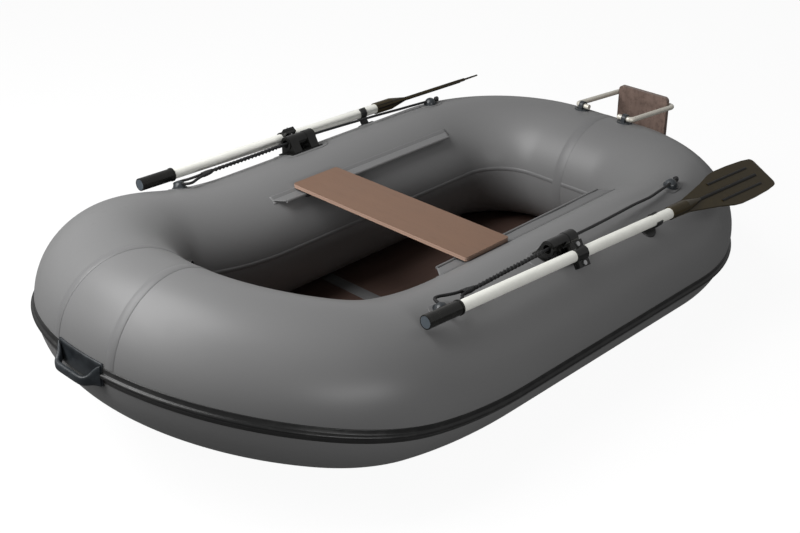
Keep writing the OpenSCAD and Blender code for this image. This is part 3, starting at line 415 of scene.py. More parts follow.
# %% Hull tube
bm = bmesh.new()
along_hull(bm, circle_at(bm, 112, tube_r, tip_station(0)), 0)
mirror_to_starboard(bm)
hull_tube = make_piece(bm, "hull_tube", "hull", [
    "bow_panel", "port_bow_tube", "starboard_bow_tube", "shoulder_tubes", "sheer_tubes",
    "side_tubes", "stern_corner_tubes", "chamber_bulkheads"])

# %% [markdown]
# ## Seam tapes and glued patches
# A seam is covered by a strip of the same fabric. Its section, thin with rounded edges, is spun
# round the tube. The tube's own lengthwise lap runs all round the cockpit near its innermost line,
# and shows as a pair of faint edges. A patch is a grid whose rows are shortened to a long oval and
# then wrapped on the tube, and Solidify gives it its thickness. A Shrinkwrap modifier would wrap it
# too, but the tube is round, so its angle and radius are known at every point.

# %% Seam tapes
tape_low, tape_high = radians(-6.7), radians(225)
tape_sunk, tape_slope = 0.0004, 0.0012
bow_seam = radians(9)
lap_angle, lap_half = radians(172), 0.0065 / tube_r
lap_sunk, lap_t = -0.0002, 0.0003


def tape_at(bm, station, width, thick):
    h = width / 2
    foot, rim, top = tube_r - tape_sunk, tube_r + 0.4 * thick, tube_r + thick
    section = [(foot, -h), (rim, -h), (top, -h + tape_slope), (top, 0), (top, h - tape_slope),
               (rim, h), (foot, h)]
    band_round(bm, section, station, tape_low, tape_high, 64)


lap = [polar(tube_r + r, lap_angle + share * lap_half) for r, share in (
    (lap_sunk, -1), (lap_t, -0.94), (lap_t, 0.94), (lap_sunk, 1))]
bm = bmesh.new()
along_hull(bm, outline(bm, lap, tip_station(0)), 0)
mirror_to_starboard(bm)
for hand in (-1, 1):
    tape_at(bm, tip_station(hand * bow_seam), 0.024, 0.0010)
tape_at(bm, transom_station(0), 0.034, 0.0007)
seam_tapes = make_piece(bm, "seam_tape_strips", "hull", ["seam_tapes"],
                        crisp=radians(60))

# %% Glued patches
lock_patch, eyelet_patch = (0.190, 0.086), (0.076, 0.052)


def patch_on(bm, station_at, angle, length, width):
    made = bmesh.ops.create_grid(bm, x_segments=40, y_segments=22, size=0.5)
    for v in made["verts"]:
        across = v.co.y * width
        round_end = sqrt(max((width / 2) ** 2 - across ** 2, 0))
        along = v.co.x * 2 * (length / 2 - width / 2 + round_end)
        v.co = station_at(along) @ polar(tube_r + patch_lift, angle + across / tube_r)


bm = bmesh.new()
patch_on(bm, lambda s: side_station(lock_x + s), lock_angle, *lock_patch)
patch_on(bm, lambda s: bend_station(fore_turn + s / sheer_r), fore_angle, *eyelet_patch)
patch_on(bm, lambda s: corner_station(aft_turn + s / stern_r), aft_angle, *eyelet_patch)
mirror_to_starboard(bm)
patches = make_piece(bm, "glued_patch_sheets", "hull", ["glued_patches"], weld=0)
thicken(patches, 0.0014, -1)

# %% [markdown]
# ## The bottom skin
# One sheet of fabric closes the ring from below. A grid is drawn to the plan of the tube's centre
# line, and its fore part is rolled up along the bend and the pitched bow plane. A filled outline
# would do for a flat sheet, but only the rows of a grid can follow the roll.

# %% Bottom skin
side_l = side_fore - side_aft
bend_r = sheer_r + tube_r
bend_l = bend_r * sheer


def half_width(s):
    if s < -side_l:
        back = -side_l - s
        return transom_half + sqrt(max(stern_r ** 2 - back ** 2, 0))
    past = s - bend_l
    if past <= 0:
        return half_beam
    if past < shoulder_r * sin(shoulder):
        return half_beam - shoulder_r + sqrt(shoulder_r ** 2 - past ** 2)
    return sqrt(max(tip_r ** 2 - (past - tip_x) ** 2, 0))


def roll_up(s, y):
    turn = min(max(s / bend_r, 0), sheer)
    past = max(s - bend_l, 0)
    x = side_fore + min(s, 0) + bend_r * sin(turn) + past * cos(turn)
    z = axis_z + sheer_r - bend_r * cos(turn) + past * sin(turn)
    return Vector((x, y, z))


skin_from = transom_x - side_fore
skin_to = bend_l + tip_x + tip_r
bm = bmesh.new()
made = bmesh.ops.create_grid(bm, x_segments=120, y_segments=30, size=0.5)
for v in made["verts"]:
    share = v.co.x + 0.5
    s = skin_from + (skin_to - skin_from) * (0.5 - 0.5 * cos(pi * share))
    v.co = roll_up(s, v.co.y * 2 * half_width(s))
bottom = make_piece(bm, "bottom_sheet", "hull", ["bottom_skin"], weld=1e-6)
level_face = bottom.data.polygons[1000]
if level_face.normal.z > 0:
    bottom.data.flip_normals()
thicken(bottom, skin_t, 1)
skin_to - skin_from

# %% [markdown]
# ## The rub strake
# A wide rubber tape with a thick bead runs round the hull below its widest line. Its section is a
# ring of points, spun along the same line as the tube, so that it follows the hull everywhere. An
# Array along a curve could do this too, but would only touch the tube at its own steps.

# %% Rub strake
handle_half = 0.083 / (tip_r + tube_r)
strake_half, strake_t, bead_r = 0.019 / tube_r, 0.002, 0.0062


def strake_section():
    top = tube_r + strake_t
    edge = [(tube_r - 0.0005, 1), (top - 0.0006, 1), (top, 0.93), (top, 0.40), (top + 0.0008, 0.36)]
    points = [(r, -share * strake_half) for r, share in edge]
    for i in range(13):
        a = -pi / 2 + pi * i / 12
        points.append((top + 0.0012 + bead_r * cos(a), bead_r * sin(a) / tube_r))
    points += [(r, share * strake_half) for r, share in reversed(edge)]
    return [polar(r, a - strake_drop) for r, a in points]


bm = bmesh.new()
along_hull(bm, outline(bm, strake_section(), tip_station(handle_half)), handle_half)
mirror_to_starboard(bm)
close_ends(bm)
strake = make_piece(bm, "rub_strake_strip", "hull", ["rub_strake"])

# %% [markdown]
# ## The bow handle
# The handle is moulded rubber. Its back plate is a section spun round the bow. Its grip is a tall
# strap in the lower half that bends back and flares into the plate at both ends, like the lip of a
# scoop. The strap is a row of rounded rings, bridged one to the next, made for one half and
# mirrored. Subdivision rounds it off, and creased rims keep its ends flat against the plate.

# %% Handle plate
plate_half = 0.029 / tube_r
plate_edge = [(-0.0004, 1), (0.0030, 1), (0.0046, 0.95), (0.0050, 0.84), (0.0036, 0.7)]
plate = [(r, -share) for r, share in plate_edge] + plate_edge[::-1]
section = [polar(tube_r + r, share * plate_half - strake_drop) for r, share in plate]
bm = bmesh.new()
line = outline(bm, section, tip_station(0))
cap(bm, spin_on(bm, line, tip_centre, bow_up, handle_half, 18))
mirror_to_starboard(bm)
handle_plate = make_piece(bm, "bow_handle_plate", "hull", ["handle_plate"])

# %% Handle strap
bar_frame = tip_station(0) @ Matrix.Rotation(-strake_drop, 4, "Z")
outward = (bar_frame.to_3x3() @ Vector((1, 0, 0))).normalized()
bar_up = (bar_frame.to_3x3() @ Vector((0, 1, 0))).normalized()
ring_points = 24
# Each row, in mm: distance from the middle, distance from the tube's axis, middle height, height,
# thickness
strap = [
    (0, 220, -16, 22, 13), (15, 220, -16, 22, 13), (30, 220, -16, 22, 13), (41, 219.6, -16, 22, 13),
    (49, 217.6, -15.8, 22.6, 13), (55.5, 213.8, -15, 24, 13), (60, 208.5, -13, 28, 12.5),
    (63.5, 203, -10, 34, 12), (68, 198, -6.5, 42, 11), (74, 194.2, -4, 49, 9),
    (81, 190.6, -3, 53, 6),
]


def squared_off(c):
    return abs(c) ** 0.7 * (1 if c > 0 else -1)


bm = bmesh.new()
rings = []
for i, (across, out, rise, tall, thick) in enumerate(strap):
    before, after = strap[max(i - 1, 0)], strap[min(i + 1, len(strap) - 1)]
    run = (Vector((0, after[0] - before[0], 0)) + (after[1] - before[1]) * outward).normalized()
    sideways = run.cross(bar_up)
    middle = bar_frame.translation + mm(0, across, 0) + out / 1000 * outward + rise / 1000 * bar_up
    verts = []
    for k in range(ring_points):
        turn = 2 * pi * k / ring_points
        wide = thick / 2000 * squared_off(cos(turn))
        high = tall / 2000 * squared_off(sin(turn))
        verts.append(bm.verts.new(middle + wide * sideways + high * bar_up))
    rings.append([bm.edges.new(pair) for pair in zip(verts, verts[1:] + verts[:1])])
for ring, following in zip(rings, rings[1:]):
    bmesh.ops.bridge_loops(bm, edges=ring + following)
mirror_to_starboard(bm)
sharpness = bm.edges.layers.float.new("crease_edge")
for edge in close_ends(bm):
    edge[sharpness] = 1
bow_handle = make_piece(bm, "bow_handle_strap", "hull", ["bow_handle"])
rounder = bow_handle.modifiers.new("moulded rounding", "SUBSURF")
rounder.levels = rounder.render_levels = 2

# %% [markdown]
# ## The seat rails
# A rail is a fabric fin welded along the tube: a base strip, a flap that stands inward like a shelf
# and a hem sewn round a bolt rope. The flap is a grid with its ends cut on the slant and a little
# waviness, because it is only held along one edge. A cloth simulation would give the waves as
# well, but a sine gives the same ones on every run.

# %% Seat rails
rail_from, rail_to = -0.506, 0.211
rail_n, rail_u = -0.145, 0.1538
rail_l, rail_slant, rail_base, base_lift = rail_to - rail_from, 0.026, 0.026, 0.0001
fin_root = -sqrt(tube_r ** 2 - rail_u ** 2)
base_angle = atan2(rail_u, fin_root)
fin_t, hem_r = 0.0022, 0.0045
rail_sheets = []


def make_rail(side, hand):
    bm = bmesh.new()
    fin = bmesh.ops.create_grid(bm, x_segments=90, y_segments=10, size=0.5)
    for v in fin["verts"]:
        share = v.co.y + 0.5
        slant = rail_slant * share
        x = rail_from + slant + (rail_l - 2 * slant) * (v.co.x + 0.5)
        n = fin_root + (rail_n - fin_root) * share
        wave = 0.0007 * share * sin(26 * x) * (1 if abs(x + 0.15) < 0.3 else 0.4)
        v.co = Vector((x, half_beam + n, axis_z + rail_u + wave))
    base = bmesh.ops.create_grid(bm, x_segments=90, y_segments=8, size=0.5)
    for v in base["verts"]:
        turn = base_angle + v.co.y * rail_base / tube_r
        x = (rail_from + rail_to) / 2 + v.co.x * rail_l
        v.co = Vector((x, half_beam + (tube_r + base_lift) * cos(turn),
                       axis_z + (tube_r + base_lift) * sin(turn)))
    to_hand(bm, hand)
    rail = make_piece(bm, side + "_rail_fin", "hull", weld=0)
    thicken(rail, fin_t, 0)
    bm = bmesh.new()
    hem_start = side_station(rail_from + rail_slant) @ Matrix.Translation((rail_n, rail_u, 0))
    push_on(bm, circle_at(bm, 20, hem_r, hem_start), ((rail_l - 2 * rail_slant) / 60, 0, 0), 60)
    close_ends(bm)
    to_hand(bm, hand)
    hem = make_piece(bm, side + "_rail_hem", "hull")
    rail_sheets.extend((rail, hem))


on_both_sides(make_rail)
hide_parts("seat_rails")
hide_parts("rail_ropes")

# %% [markdown]
# ## The floor's hinge strips
# Fabric strips glued over the seams let the floor fold. They are thin grids, laid on the boards,
# with a slight rise over the gap between two boards. A flat box would do from far, but its edge
# would catch no light.

# %% Hinge strips
hinge_w, hinge_l, hinge_t, hinge_rise = 0.044, 0.710, 0.0009, 0.0006
hinge_top = 0.0112
bm = bmesh.new()
for seam in (-0.014, -0.430):
    made = bmesh.ops.create_grid(bm, x_segments=16, y_segments=40, size=0.5)
    for v in made["verts"]:
        rise = hinge_rise * max(0, 1 - (v.co.x * 5) ** 2)
        v.co = Vector((seam + v.co.x * hinge_w, v.co.y * hinge_l, hinge_top + rise))
hinges = make_piece(bm, "floor_hinge_strips", "hull", ["floor_hinges"], weld=0)
thicken(hinges, hinge_t, -1)

# %% [markdown]
# ## The oar clips
# A clip is a soft rubber ring, open at the top, on a round foot. The ring is a flat section spun
# through most of a turn. A rounded block makes the neck, and a domed disc wrapped on the tube makes
# the foot. The three overlap as one moulding, which is simpler than cutting them into one skin.

# %% Oar clips
oar_rest, pin_lean, clip_reach = radians(2.7), radians(33), 0.320
pin = Vector((lock_x, lock_mid.y + 0.0587, lock_mid.z - 0.0106))
clip_at = pin + clip_reach * Vector((
    -cos(oar_rest), sin(oar_rest) * sin(pin_lean), -sin(oar_rest) * cos(pin_lean)))
clip_angle = atan2(clip_at.z - axis_z, clip_at.y - half_beam)
clip_h = sqrt((clip_at.z - axis_z) ** 2 + (clip_at.y - half_beam) ** 2)
clip_from, clip_to = radians(52), radians(308)
clip_ring = [(0.016, -0.0105), (0.0165, -0.012), (0.0185, -0.012), (0.0198, -0.0105),
             (0.0198, 0.0105), (0.0185, 0.012), (0.0165, 0.012), (0.016, 0.0105)]
neck_size, neck_in = (0.021, 0.016, 0.022), -0.029
foot_r, foot_h, foot_t = 0.028, 0.0030, 0.0015


def make_clip(side, hand):
    bm = bmesh.new()
    place = (side_station(clip_at.x) @ Matrix.Rotation(clip_angle, 4, "Z")
             @ Matrix.Translation((clip_h, 0, 0)))
    band_round(bm, clip_ring, place, clip_from, clip_to, 44)
    neck = place @ Matrix.Translation((neck_in, 0, 0)) @ Matrix.Diagonal((*neck_size, 1))
    block = bmesh.ops.create_cube(bm, size=1, matrix=neck)
    sides = list(dict.fromkeys(e for v in block["verts"] for e in v.link_edges))
    bmesh.ops.bevel(bm, geom=sides, offset=0.003, segments=3, profile=0.5, affect="EDGES",
                    material=-1)
    disc = bmesh.ops.create_grid(bm, x_segments=24, y_segments=24, size=0.5)
    for v in disc["verts"]:
        across = v.co.y * 2 * foot_r
        along = v.co.x * 2 * sqrt(max((foot_r + 0.0001) ** 2 - across ** 2, 0))
        away = min(sqrt(across ** 2 + along ** 2) / foot_r, 1)
        r = tube_r + foot_h * (1 - max(0, (away - 0.8) / 0.2) ** 2) + 0.0002
        v.co = side_station(clip_at.x + along) @ polar(r, clip_angle + across / tube_r)
    foot = list(dict.fromkeys(face for v in disc["verts"] for face in v.link_faces))
    bmesh.ops.solidify(bm, geom=foot, thickness=foot_t)
    to_hand(bm, hand)
    make_piece(bm, side + "_oar_clip_ring", "hull", [side + "_oar_clip"], weld=0)


on_both_sides(make_clip)

# %% [markdown]
# ## A small language for finishes
# A finish is a Principled shader with a few pattern nodes in front of it. The class below wraps a
# socket, so that sums and products of patterns read like arithmetic, and one method adds any
# other node. Numbers that do not change over the surface are set on the shader itself. Nodes could
# be placed and linked one by one instead, but the sums would then be hard to read.

# %% Finish helpers
class Pattern:
    def __init__(self, owner, socket):
        self.owner = owner
        self.socket = socket

    def math(self, operation, a, b):
        return self.owner.add("ShaderNodeMath", {"operation": operation}, {0: a, 1: b})

    def __add__(self, other):
        return self.math("ADD", self, other)

    def __radd__(self, other):
        return self.math("ADD", other, self)

    def __sub__(self, other):
        return self.math("SUBTRACT", self, other)

    def __rsub__(self, other):
        return self.math("SUBTRACT", other, self)

    def __mul__(self, other):
        return self.math("MULTIPLY", self, other)

    def __rmul__(self, other):
        return self.math("MULTIPLY", other, self)

    def __truediv__(self, other):
        return self.math("DIVIDE", self, other)

    def __rtruediv__(self, other):
        return self.math("DIVIDE", other, self)

    def __pow__(self, other):
        return self.math("POWER", self, other)


class NodeTree:
    def __init__(self, tree):
        self.tree = tree

    def add(self, kind, settings, inputs, out=0):
        node = self.tree.nodes.new(kind)
        for key, value in settings.items():
            if key == "stops":
                ramp = node.color_ramp
                while len(ramp.elements) < len(value):
                    ramp.elements.new(0.5)
                for element, (at, colour) in zip(ramp.elements, value):
                    element.position = at
                    element.color = (*colour, 1) if len(colour) == 3 else colour
            else:
                setattr(node, key, value)
        for key, value in inputs.items():
            if isinstance(value, Pattern):
                self.tree.links.new(value.socket, node.inputs[key])
            else:
                node.inputs[key].default_value = value
        return Pattern(self, node.outputs[out])


class Finish(NodeTree):
    def __init__(self, name, **constants):
        self.material = bpy.data.materials.new(name)
        self.material.use_nodes = True
        super().__init__(self.material.node_tree)
        self.shader = next(n for n in self.tree.nodes if n.type == "BSDF_PRINCIPLED")
        for key, value in constants.items():
            self.shader.inputs[key.replace("_", " ")].default_value = value
        self.place = self.add("ShaderNodeTexCoord", {}, {}, "Object")

    def stretched(self, x, y, z):
        return self.add("ShaderNodeMapping", {}, {"Vector": self.place, "Scale": (x, y, z)})

    def noise(self, scale, detail=3, roughness=0.55, at=None):
        return self.add("ShaderNodeTexNoise", {}, {
            "Vector": at or self.place, "Scale": scale, "Detail": detail,
            "Roughness": roughness}, "Fac")

    def blend(self, low, high, factor):
        return self.add("ShaderNodeMix", {"data_type": "RGBA"}, {
            0: factor, 6: low if isinstance(low, Pattern) else (*low, 1),
            7: high if isinstance(high, Pattern) else (*high, 1)}, 2)

    def window(self, value, low, high):
        return self.add("ShaderNodeMapRange", {}, {
            "Value": value, 1: low, 2: high, 3: 0.0, 4: 1.0})

    def feed(self, socket, value):
        self.tree.links.new(value.socket, self.shader.inputs[socket])

    def bump(self, height, distance, strength=1.0):
        self.feed("Normal", self.add("ShaderNodeBump", {}, {
            "Height": height, "Distance": distance, "Strength": strength}))


# %% [markdown]
# ## Coated fabric
# The hull is polyester cloth coated with vinyl. From near, the threads show through the coat as a
# fine crossed ripple. From far it is an even satin grey with soft cloudiness and a few scuffs. The
# ripple is a bump, because real threads would cost far more faces than the whole boat.

# %% Hull fabric
def coated_fabric(name, dark, light, rough):
    f = Finish(name, Specular_IOR_Level=0.28, Sheen_Weight=0.03)
    cloud = f.noise(2.2, 2)
    speck = f.noise(620, 2, 0.6)
    scuff = f.window(f.noise(9, 6, 0.7), 0.60, 0.78)
    f.feed("Base Color", f.blend(dark, light, cloud * 0.75 + speck * 0.25))
    f.feed("Roughness", rough + 0.10 * cloud + 0.10 * scuff - 0.05)
    waves = [f.add("ShaderNodeTexWave", {"bands_direction": way}, {
        "Vector": f.place, "Scale": 130.0, "Distortion": 0.6, "Detail": 1.0}, "Fac")
        for way in "XYZ"]
    grain = f.noise(420, 3)
    f.bump((waves[0] + waves[1] + waves[2]) * 0.16 + grain * 0.5, 0.00018, 0.35)
    return f.material


hull_fabric = coated_fabric(
    "grey_coated_fabric", (0.150, 0.150, 0.151), (0.178, 0.178, 0.178), 0.40)
seam_fabric = coated_fabric(
    "grey_tape_fabric", (0.140, 0.140, 0.141), (0.165, 0.165, 0.166), 0.42)
skin_fabric = coated_fabric(
    "dark_bottom_fabric", (0.060, 0.060, 0.062), (0.085, 0.085, 0.087), 0.45)

# %% [markdown]
# ## Rubber, moulded nylon and cord
# Rubber is nearly black with a bluish bloom and dusty hollows. Nylon has a spark-eroded grain from
# its mould. On the blades the ribs are painted darker than the flats, as painted shade along them:
# how far a point stands from the blade's middle plane tells them apart. The cord's plait is two
# sets of slanted ripples that cross.

# %% Black finishes
def rubber(name, base, bloom, rough):
    f = Finish(name, Specular_IOR_Level=0.32)
    dust = f.window(f.noise(26, 5, 0.65), 0.45, 0.75)
    f.feed("Base Color", f.blend(base, bloom, dust * 0.7))
    f.feed("Roughness", rough + 0.16 * dust)
    f.bump(f.noise(900, 2) * 0.6 + f.noise(150, 3) * 0.4, 0.00012, 0.4)
    return f.material


def moulded_nylon(name, base, worn, rough):
    f = Finish(name, Specular_IOR_Level=0.35)
    wear = f.window(f.noise(55, 5, 0.7), 0.50, 0.80)
    f.feed("Base Color", f.blend(base, worn, wear))
    f.feed("Roughness", rough + 0.18 * wear)
    f.bump(f.noise(1400, 2), 0.00006, 0.3)
    return f.material


blade_half_t = 0.0025


def ribbed_blade(side):
    flat = max(nodes[side + "_oar_blade"].data.polygons, key=lambda face: face.area)
    f = Finish(side + "_blade_nylon", Specular_IOR_Level=0.18)
    above = f.add("ShaderNodeVectorMath", {"operation": "DOT_PRODUCT"},
                  {0: f.place, 1: flat.normal}, "Value")
    middle = flat.center.dot(flat.normal) - blade_half_t
    from_mid = f.add("ShaderNodeMath", {"operation": "ABSOLUTE"}, {0: above - middle})
    # The ribs are painted near black as painted shade along their sides.
    rib_painted_shade = f.window(from_mid, 0.0029, 0.0036) * (1 - f.window(from_mid, 0.0062, 0.0070))
    wear = f.window(f.noise(40, 5, 0.7), 0.35, 0.80)
    flats = f.blend((0.029, 0.021, 0.008), (0.041, 0.030, 0.012), wear)
    f.feed("Base Color", f.blend(flats, (0.004, 0.0035, 0.003), rib_painted_shade))
    f.feed("Roughness", 0.30 + 0.12 * wear)
    f.bump(f.noise(1400, 2), 0.00006, 0.3)
    return f.material


def plaited_cord(name):
    f = Finish(name, Specular_IOR_Level=0.2, Sheen_Weight=0.02)
    slants = []
    for lean in (0.9, -0.9):
        turned = f.add("ShaderNodeMapping", {}, {"Vector": f.place, "Rotation": (0.4, 0.0, lean)})
        slants.append(f.add("ShaderNodeTexWave", {"bands_direction": "X"}, {
            "Vector": turned, "Scale": 72.0, "Distortion": 0.4}, "Fac"))
    plait = f.add("ShaderNodeMath", {"operation": "MAXIMUM"}, {0: slants[0], 1: slants[1]})
    fuzz = f.noise(1500, 3)
    f.feed("Base Color", f.blend((0.003, 0.003, 0.003), (0.022, 0.022, 0.023),
                                 plait * 0.7 + fuzz * 0.3))
    f.feed("Roughness", 0.45 + 0.2 * fuzz)
    f.bump(plait + fuzz * 0.15, 0.0007, 0.8)
    return f.material


strake_rubber = rubber(
    "black_strake_rubber", (0.008, 0.008, 0.008), (0.022, 0.022, 0.021), 0.30)
handle_rubber = rubber(
    "blue_black_handle_rubber", (0.014, 0.017, 0.020), (0.045, 0.052, 0.058), 0.34)
eyelet_rubber = rubber(
    "grey_eyelet_rubber", (0.026, 0.030, 0.034), (0.065, 0.071, 0.077), 0.24)
clip_rubber = rubber(
    "black_clip_rubber", (0.010, 0.010, 0.010), (0.03, 0.03, 0.03), 0.38)
black_nylon = moulded_nylon(
    "black_nylon", (0.006, 0.006, 0.0055), (0.013, 0.013, 0.012), 0.15)
blade_nylon = {side: ribbed_blade(side) for side in ("port", "starboard")}
grip_nylon = moulded_nylon(
    "grip_nylon", (0.006, 0.006, 0.005), (0.012, 0.012, 0.010), 0.22)
plug_nylon = moulded_nylon(
    "blue_grey_plug", (0.075, 0.090, 0.105), (0.12, 0.135, 0.15), 0.40)
black_cord = plaited_cord("plaited_black_cord")

# %% [markdown]
# ## Metal
# The oar tubes and bracket tubes are drawn aluminium: fine lines along the tube, a silk gloss and
# some dull patches. The seat channels are near black, as painted shade under the seat. The bolts
# are plated steel. The lines are noise that is stretched along one axis, which is simpler than
# unwrapping each tube.

# %% Metal finishes
def drawn_metal(name, base, dull, rough, metallic, lines):
    f = Finish(name, Specular_IOR_Level=0.5, Metallic=metallic)
    streak = f.noise(1.0, 4, 0.6, f.stretched(*lines))
    haze = f.window(f.noise(18, 4), 0.4, 0.75)
    f.feed("Base Color", f.blend(base, dull, haze * 0.6 + streak * 0.4))
    f.feed("Roughness", rough + 0.12 * haze + 0.08 * streak)
    f.bump(streak, 0.00005, 0.4)
    return f.material


oar_alloy = drawn_metal(
    "oar_alloy", (0.93, 0.93, 0.87), (0.82, 0.82, 0.76), 0.34, 0.12, (6, 700, 700))
bracket_alloy = drawn_metal(
    "bracket_alloy", (0.72, 0.69, 0.61), (0.56, 0.53, 0.46), 0.24, 0.25, (60, 60, 700))
# The seat channels are near black as painted shade under the seat.
channel_alloy_painted_shade = drawn_metal(
    "shade_painted_channel_alloy", (0.05, 0.05, 0.052), (0.03, 0.03, 0.03), 0.35, 0.6, (300, 3, 300))
plated_steel = drawn_metal(
    "plated_steel", (0.42, 0.42, 0.42), (0.26, 0.26, 0.27), 0.24, 1.0, (300, 300, 300))

# %% [markdown]
# ## Plywood
# The seat, the floor and the motor plate are plywood. Their faces are stained and sealed, with the
# grain only faint. The seat's edges show the layers: a ramp over the height of the board gives
# them, because the faces lie at one height and the edges cross all of them. The edges' pale colour
# is partly the bare plies and partly a painted highlight. The motor plate has worn blotches
# instead.

# %% Plywood finishes
def plywood(name, face, grain_dark, along, rough, coat, layers=None, mottle=0.0):
    f = Finish(name, Specular_IOR_Level=0.25, Coat_Roughness=0.25, Coat_Weight=coat)
    streak = f.noise(1.0, 5, 0.6, f.stretched(*along))
    pores = f.window(f.noise(1.0, 3, 0.5, f.stretched(*(8 * c for c in along))), 0.55, 0.75)
    cloud = f.noise(14, 4, 0.65)
    mix = f.blend(grain_dark, face, f.window(streak * 0.6 + cloud * 0.4, 0.25, 0.62))
    mix = f.blend(mix, tuple(0.6 * c for c in grain_dark), pores * 0.35)
    if mottle:
        blotch = f.window(f.noise(75, 5, 0.7), 0.48, 0.66)
        mix = f.blend(mix, tuple(0.55 * c for c in grain_dark), blotch * mottle)
    if layers:
        low, high, pale, deep = layers
        height = f.add("ShaderNodeSeparateXYZ", {}, {0: f.place}, 2)
        share = f.window(height, low, high)
        plies = f.add("ShaderNodeValToRGB", {"stops": [
            (0.0, (1, 1, 1)), (0.10, (0, 0, 0)), (0.44, (0, 0, 0)), (0.5, (0.85,) * 3),
            (0.56, (0, 0, 0)), (0.90, (0, 0, 0)), (0.96, (1, 1, 1))]}, {0: share})
        # The pale edge colour is partly the bare plies and partly a painted highlight.
        edge = f.blend(pale, deep, plies)
        inside = f.window(height, high - 0.0011, high - 0.0008)
        mix = f.blend(edge, mix, inside)
    f.feed("Base Color", mix)
    f.feed("Roughness", rough + 0.15 * cloud)
    f.bump(streak * 0.6 + pores * 0.4, 0.0001, 0.3)
    return f.material


seat_low, seat_high = (p.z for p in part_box("seat_board"))
# The seat's pale edge colour is partly bare plies and partly a painted highlight.
seat_ply = plywood(
    "stained_seat_ply", (0.178, 0.104, 0.069), (0.163, 0.095, 0.063), (60, 3, 60), 0.38, 0.05,
    layers=(seat_low, seat_high, (0.42, 0.28, 0.215), (0.235, 0.145, 0.108)))
floor_ply = plywood(
    "film_faced_floor_ply", (0.105, 0.066, 0.054), (0.078, 0.048, 0.039), (3, 50, 50), 0.34, 0.25)
plate_ply = plywood(
    "film_faced_plate_ply", (0.205, 0.146, 0.122), (0.135, 0.094, 0.078), (50, 50, 4), 0.36, 0.3,
    mottle=0.6)

# %% [markdown]
# ## Which piece wears which finish
# The new pieces and the nodes that stay are dressed from one list.

# %% Dress the pieces
def dress(material, *things):
    for thing in things:
        if isinstance(thing, str):
            piece = nodes.get(thing) or bpy.data.objects[thing]
        else:
            piece = thing
        piece.data.materials.clear()
        piece.data.materials.append(material)


def pair(*names):
    return [side + name for name in names for side in ("port_", "starboard_")]


dress(hull_fabric, hull_tube)
dress(seam_fabric, seam_tapes, patches, hinges, *rail_sheets)
dress(skin_fabric, bottom)
dress(strake_rubber, strake)
dress(handle_rubber, handle_plate, bow_handle)
dress(eyelet_rubber, "line_eyelets", "bracket_eyelets")
dress(clip_rubber, *pair("oar_clip_ring"))
dress(black_cord, *pair("grab_line_cord", "line_knot", "line_whipping", "line_splice"))
dress(black_nylon, "valve_bodies", *pair(
    "oarlock_base", "oar_swivel", "clamp_base", "clamp_cap", "valve_cap"))
dress(grip_nylon, *pair("oar_grip"))
dress(plug_nylon, *pair("oar_plug"))
for side, nylon in blade_nylon.items():
    dress(nylon, side + "_oar_blade")
dress(oar_alloy, *pair("oar_shaft"))
dress(channel_alloy_painted_shade, "seat_channels")
dress(bracket_alloy, "upper_bracket_tube", "lower_bracket_tube", "bracket_saddles")
dress(plated_steel, "bracket_bolts", "seat_screws", *pair("clamp_bolts", "valve_stem"))
dress(seat_ply, "seat_board")
dress(floor_ply, "floor_bow_board", "floor_fore_board", "floor_mid_board", "floor_aft_board")
dress(plate_ply, "transom_plate")

# %% [markdown]
# ## Floor and light
# The boat stands on a pale floor without a horizon. A broad lamp above, a weaker one ahead of the
# bow and a low strip to port give soft studio light. The white of the background belongs to what
# the camera sees of the floor and the world, and adds no light to the boat. Polished pieces mirror
# a share of it, so that metal looks bright and black rubber stays black.

# %% Stage
floor_half = 30
bm = bmesh.new()
bmesh.ops.create_grid(bm, x_segments=1, y_segments=1, size=floor_half)
floor_mesh = bpy.data.meshes.new("studio_floor")
bm.to_mesh(floor_mesh)
bm.free()
studio_floor = bpy.data.objects.new("studio_floor", floor_mesh)
studio_floor.location.z = -0.0005
scene.collection.objects.link(studio_floor)
print("floor is", 2 * floor_half, "m wide")

# %% Background
floor_mirrored, sky_mirrored = 0.08, 0.45
sky_light = 0.115


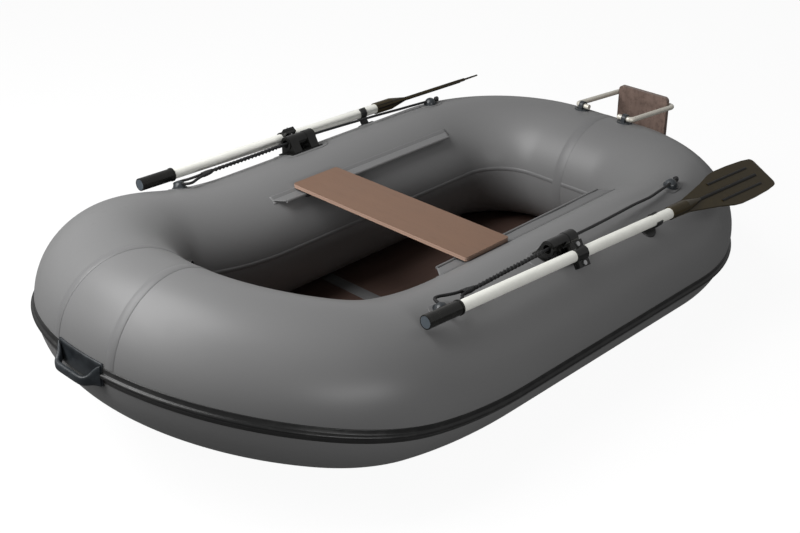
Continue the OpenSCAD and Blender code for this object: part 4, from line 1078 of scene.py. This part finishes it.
def seen_share(owner, mirrored):
    rays = {kind: owner.add("ShaderNodeLightPath", {}, {}, f"Is {kind} Ray")
            for kind in ("Camera", "Glossy", "Transmission")}
    return rays["Camera"] + rays["Glossy"] * mirrored + rays["Transmission"]


f = Finish("studio_floor_paint", Roughness=0.9, Specular_IOR_Level=0.1)
seen = seen_share(f, floor_mirrored)
f.feed("Base Color", f.blend((0.05, 0.05, 0.05), (0.85, 0.85, 0.85), seen))
glow = f.add("ShaderNodeEmission", {}, {"Color": (1, 1, 1, 1), "Strength": 1.04})
mixed = f.add("ShaderNodeMixShader", {}, {
    0: seen * 0.90, 1: Pattern(f, f.shader.outputs[0]), 2: glow})
f.tree.links.new(mixed.socket, f.tree.nodes["Material Output"].inputs[0])
studio_floor.data.materials.append(f.material)

world = bpy.data.worlds.new("studio_world")
scene.world = world
world.use_nodes = True
sky = NodeTree(world.node_tree)
background = sky.tree.nodes["Background"]
background.inputs["Color"].default_value = (1, 1, 1, 1)
background.inputs["Strength"].default_value = sky_light
white = sky.add("ShaderNodeBackground", {}, {"Color": (1, 1, 1, 1), "Strength": 1.0})
chosen = sky.add("ShaderNodeMixShader", {}, {
    0: seen_share(sky, sky_mirrored), 1: Pattern(sky, background.outputs[0]), 2: white})
sky.tree.links.new(chosen.socket, sky.tree.nodes["World Output"].inputs["Surface"])
print("floor and sky are white to the camera")


# %% Lamps
def softbox(name, place, aim, size, power):
    lamp = bpy.data.lights.new(name, "AREA")
    lamp.shape = "RECTANGLE"
    lamp.size, lamp.size_y = size
    lamp.energy = power
    holder = bpy.data.objects.new(name, lamp)
    holder.location = place
    holder.rotation_euler = (Vector(aim) - Vector(place)).to_track_quat("-Z", "Y").to_euler()
    scene.collection.objects.link(holder)


softbox("top_softbox", (1.5, -1.0, 2.75), (-0.3, 0.1, 0.3), (2.2, 2.0), 107)
softbox("bow_softbox", (3.2, -1.2, 2.3), (0.4, 0, 0.2), (1.8, 1.8), 47)
softbox("port_softbox", (1.1, 3.4, 1.05), (0.1, 0.4, 0.35), (2.4, 0.5), 41)
scene.view_settings.view_transform = "Standard"
print("lamps:", [lamp.name for lamp in bpy.data.lights])
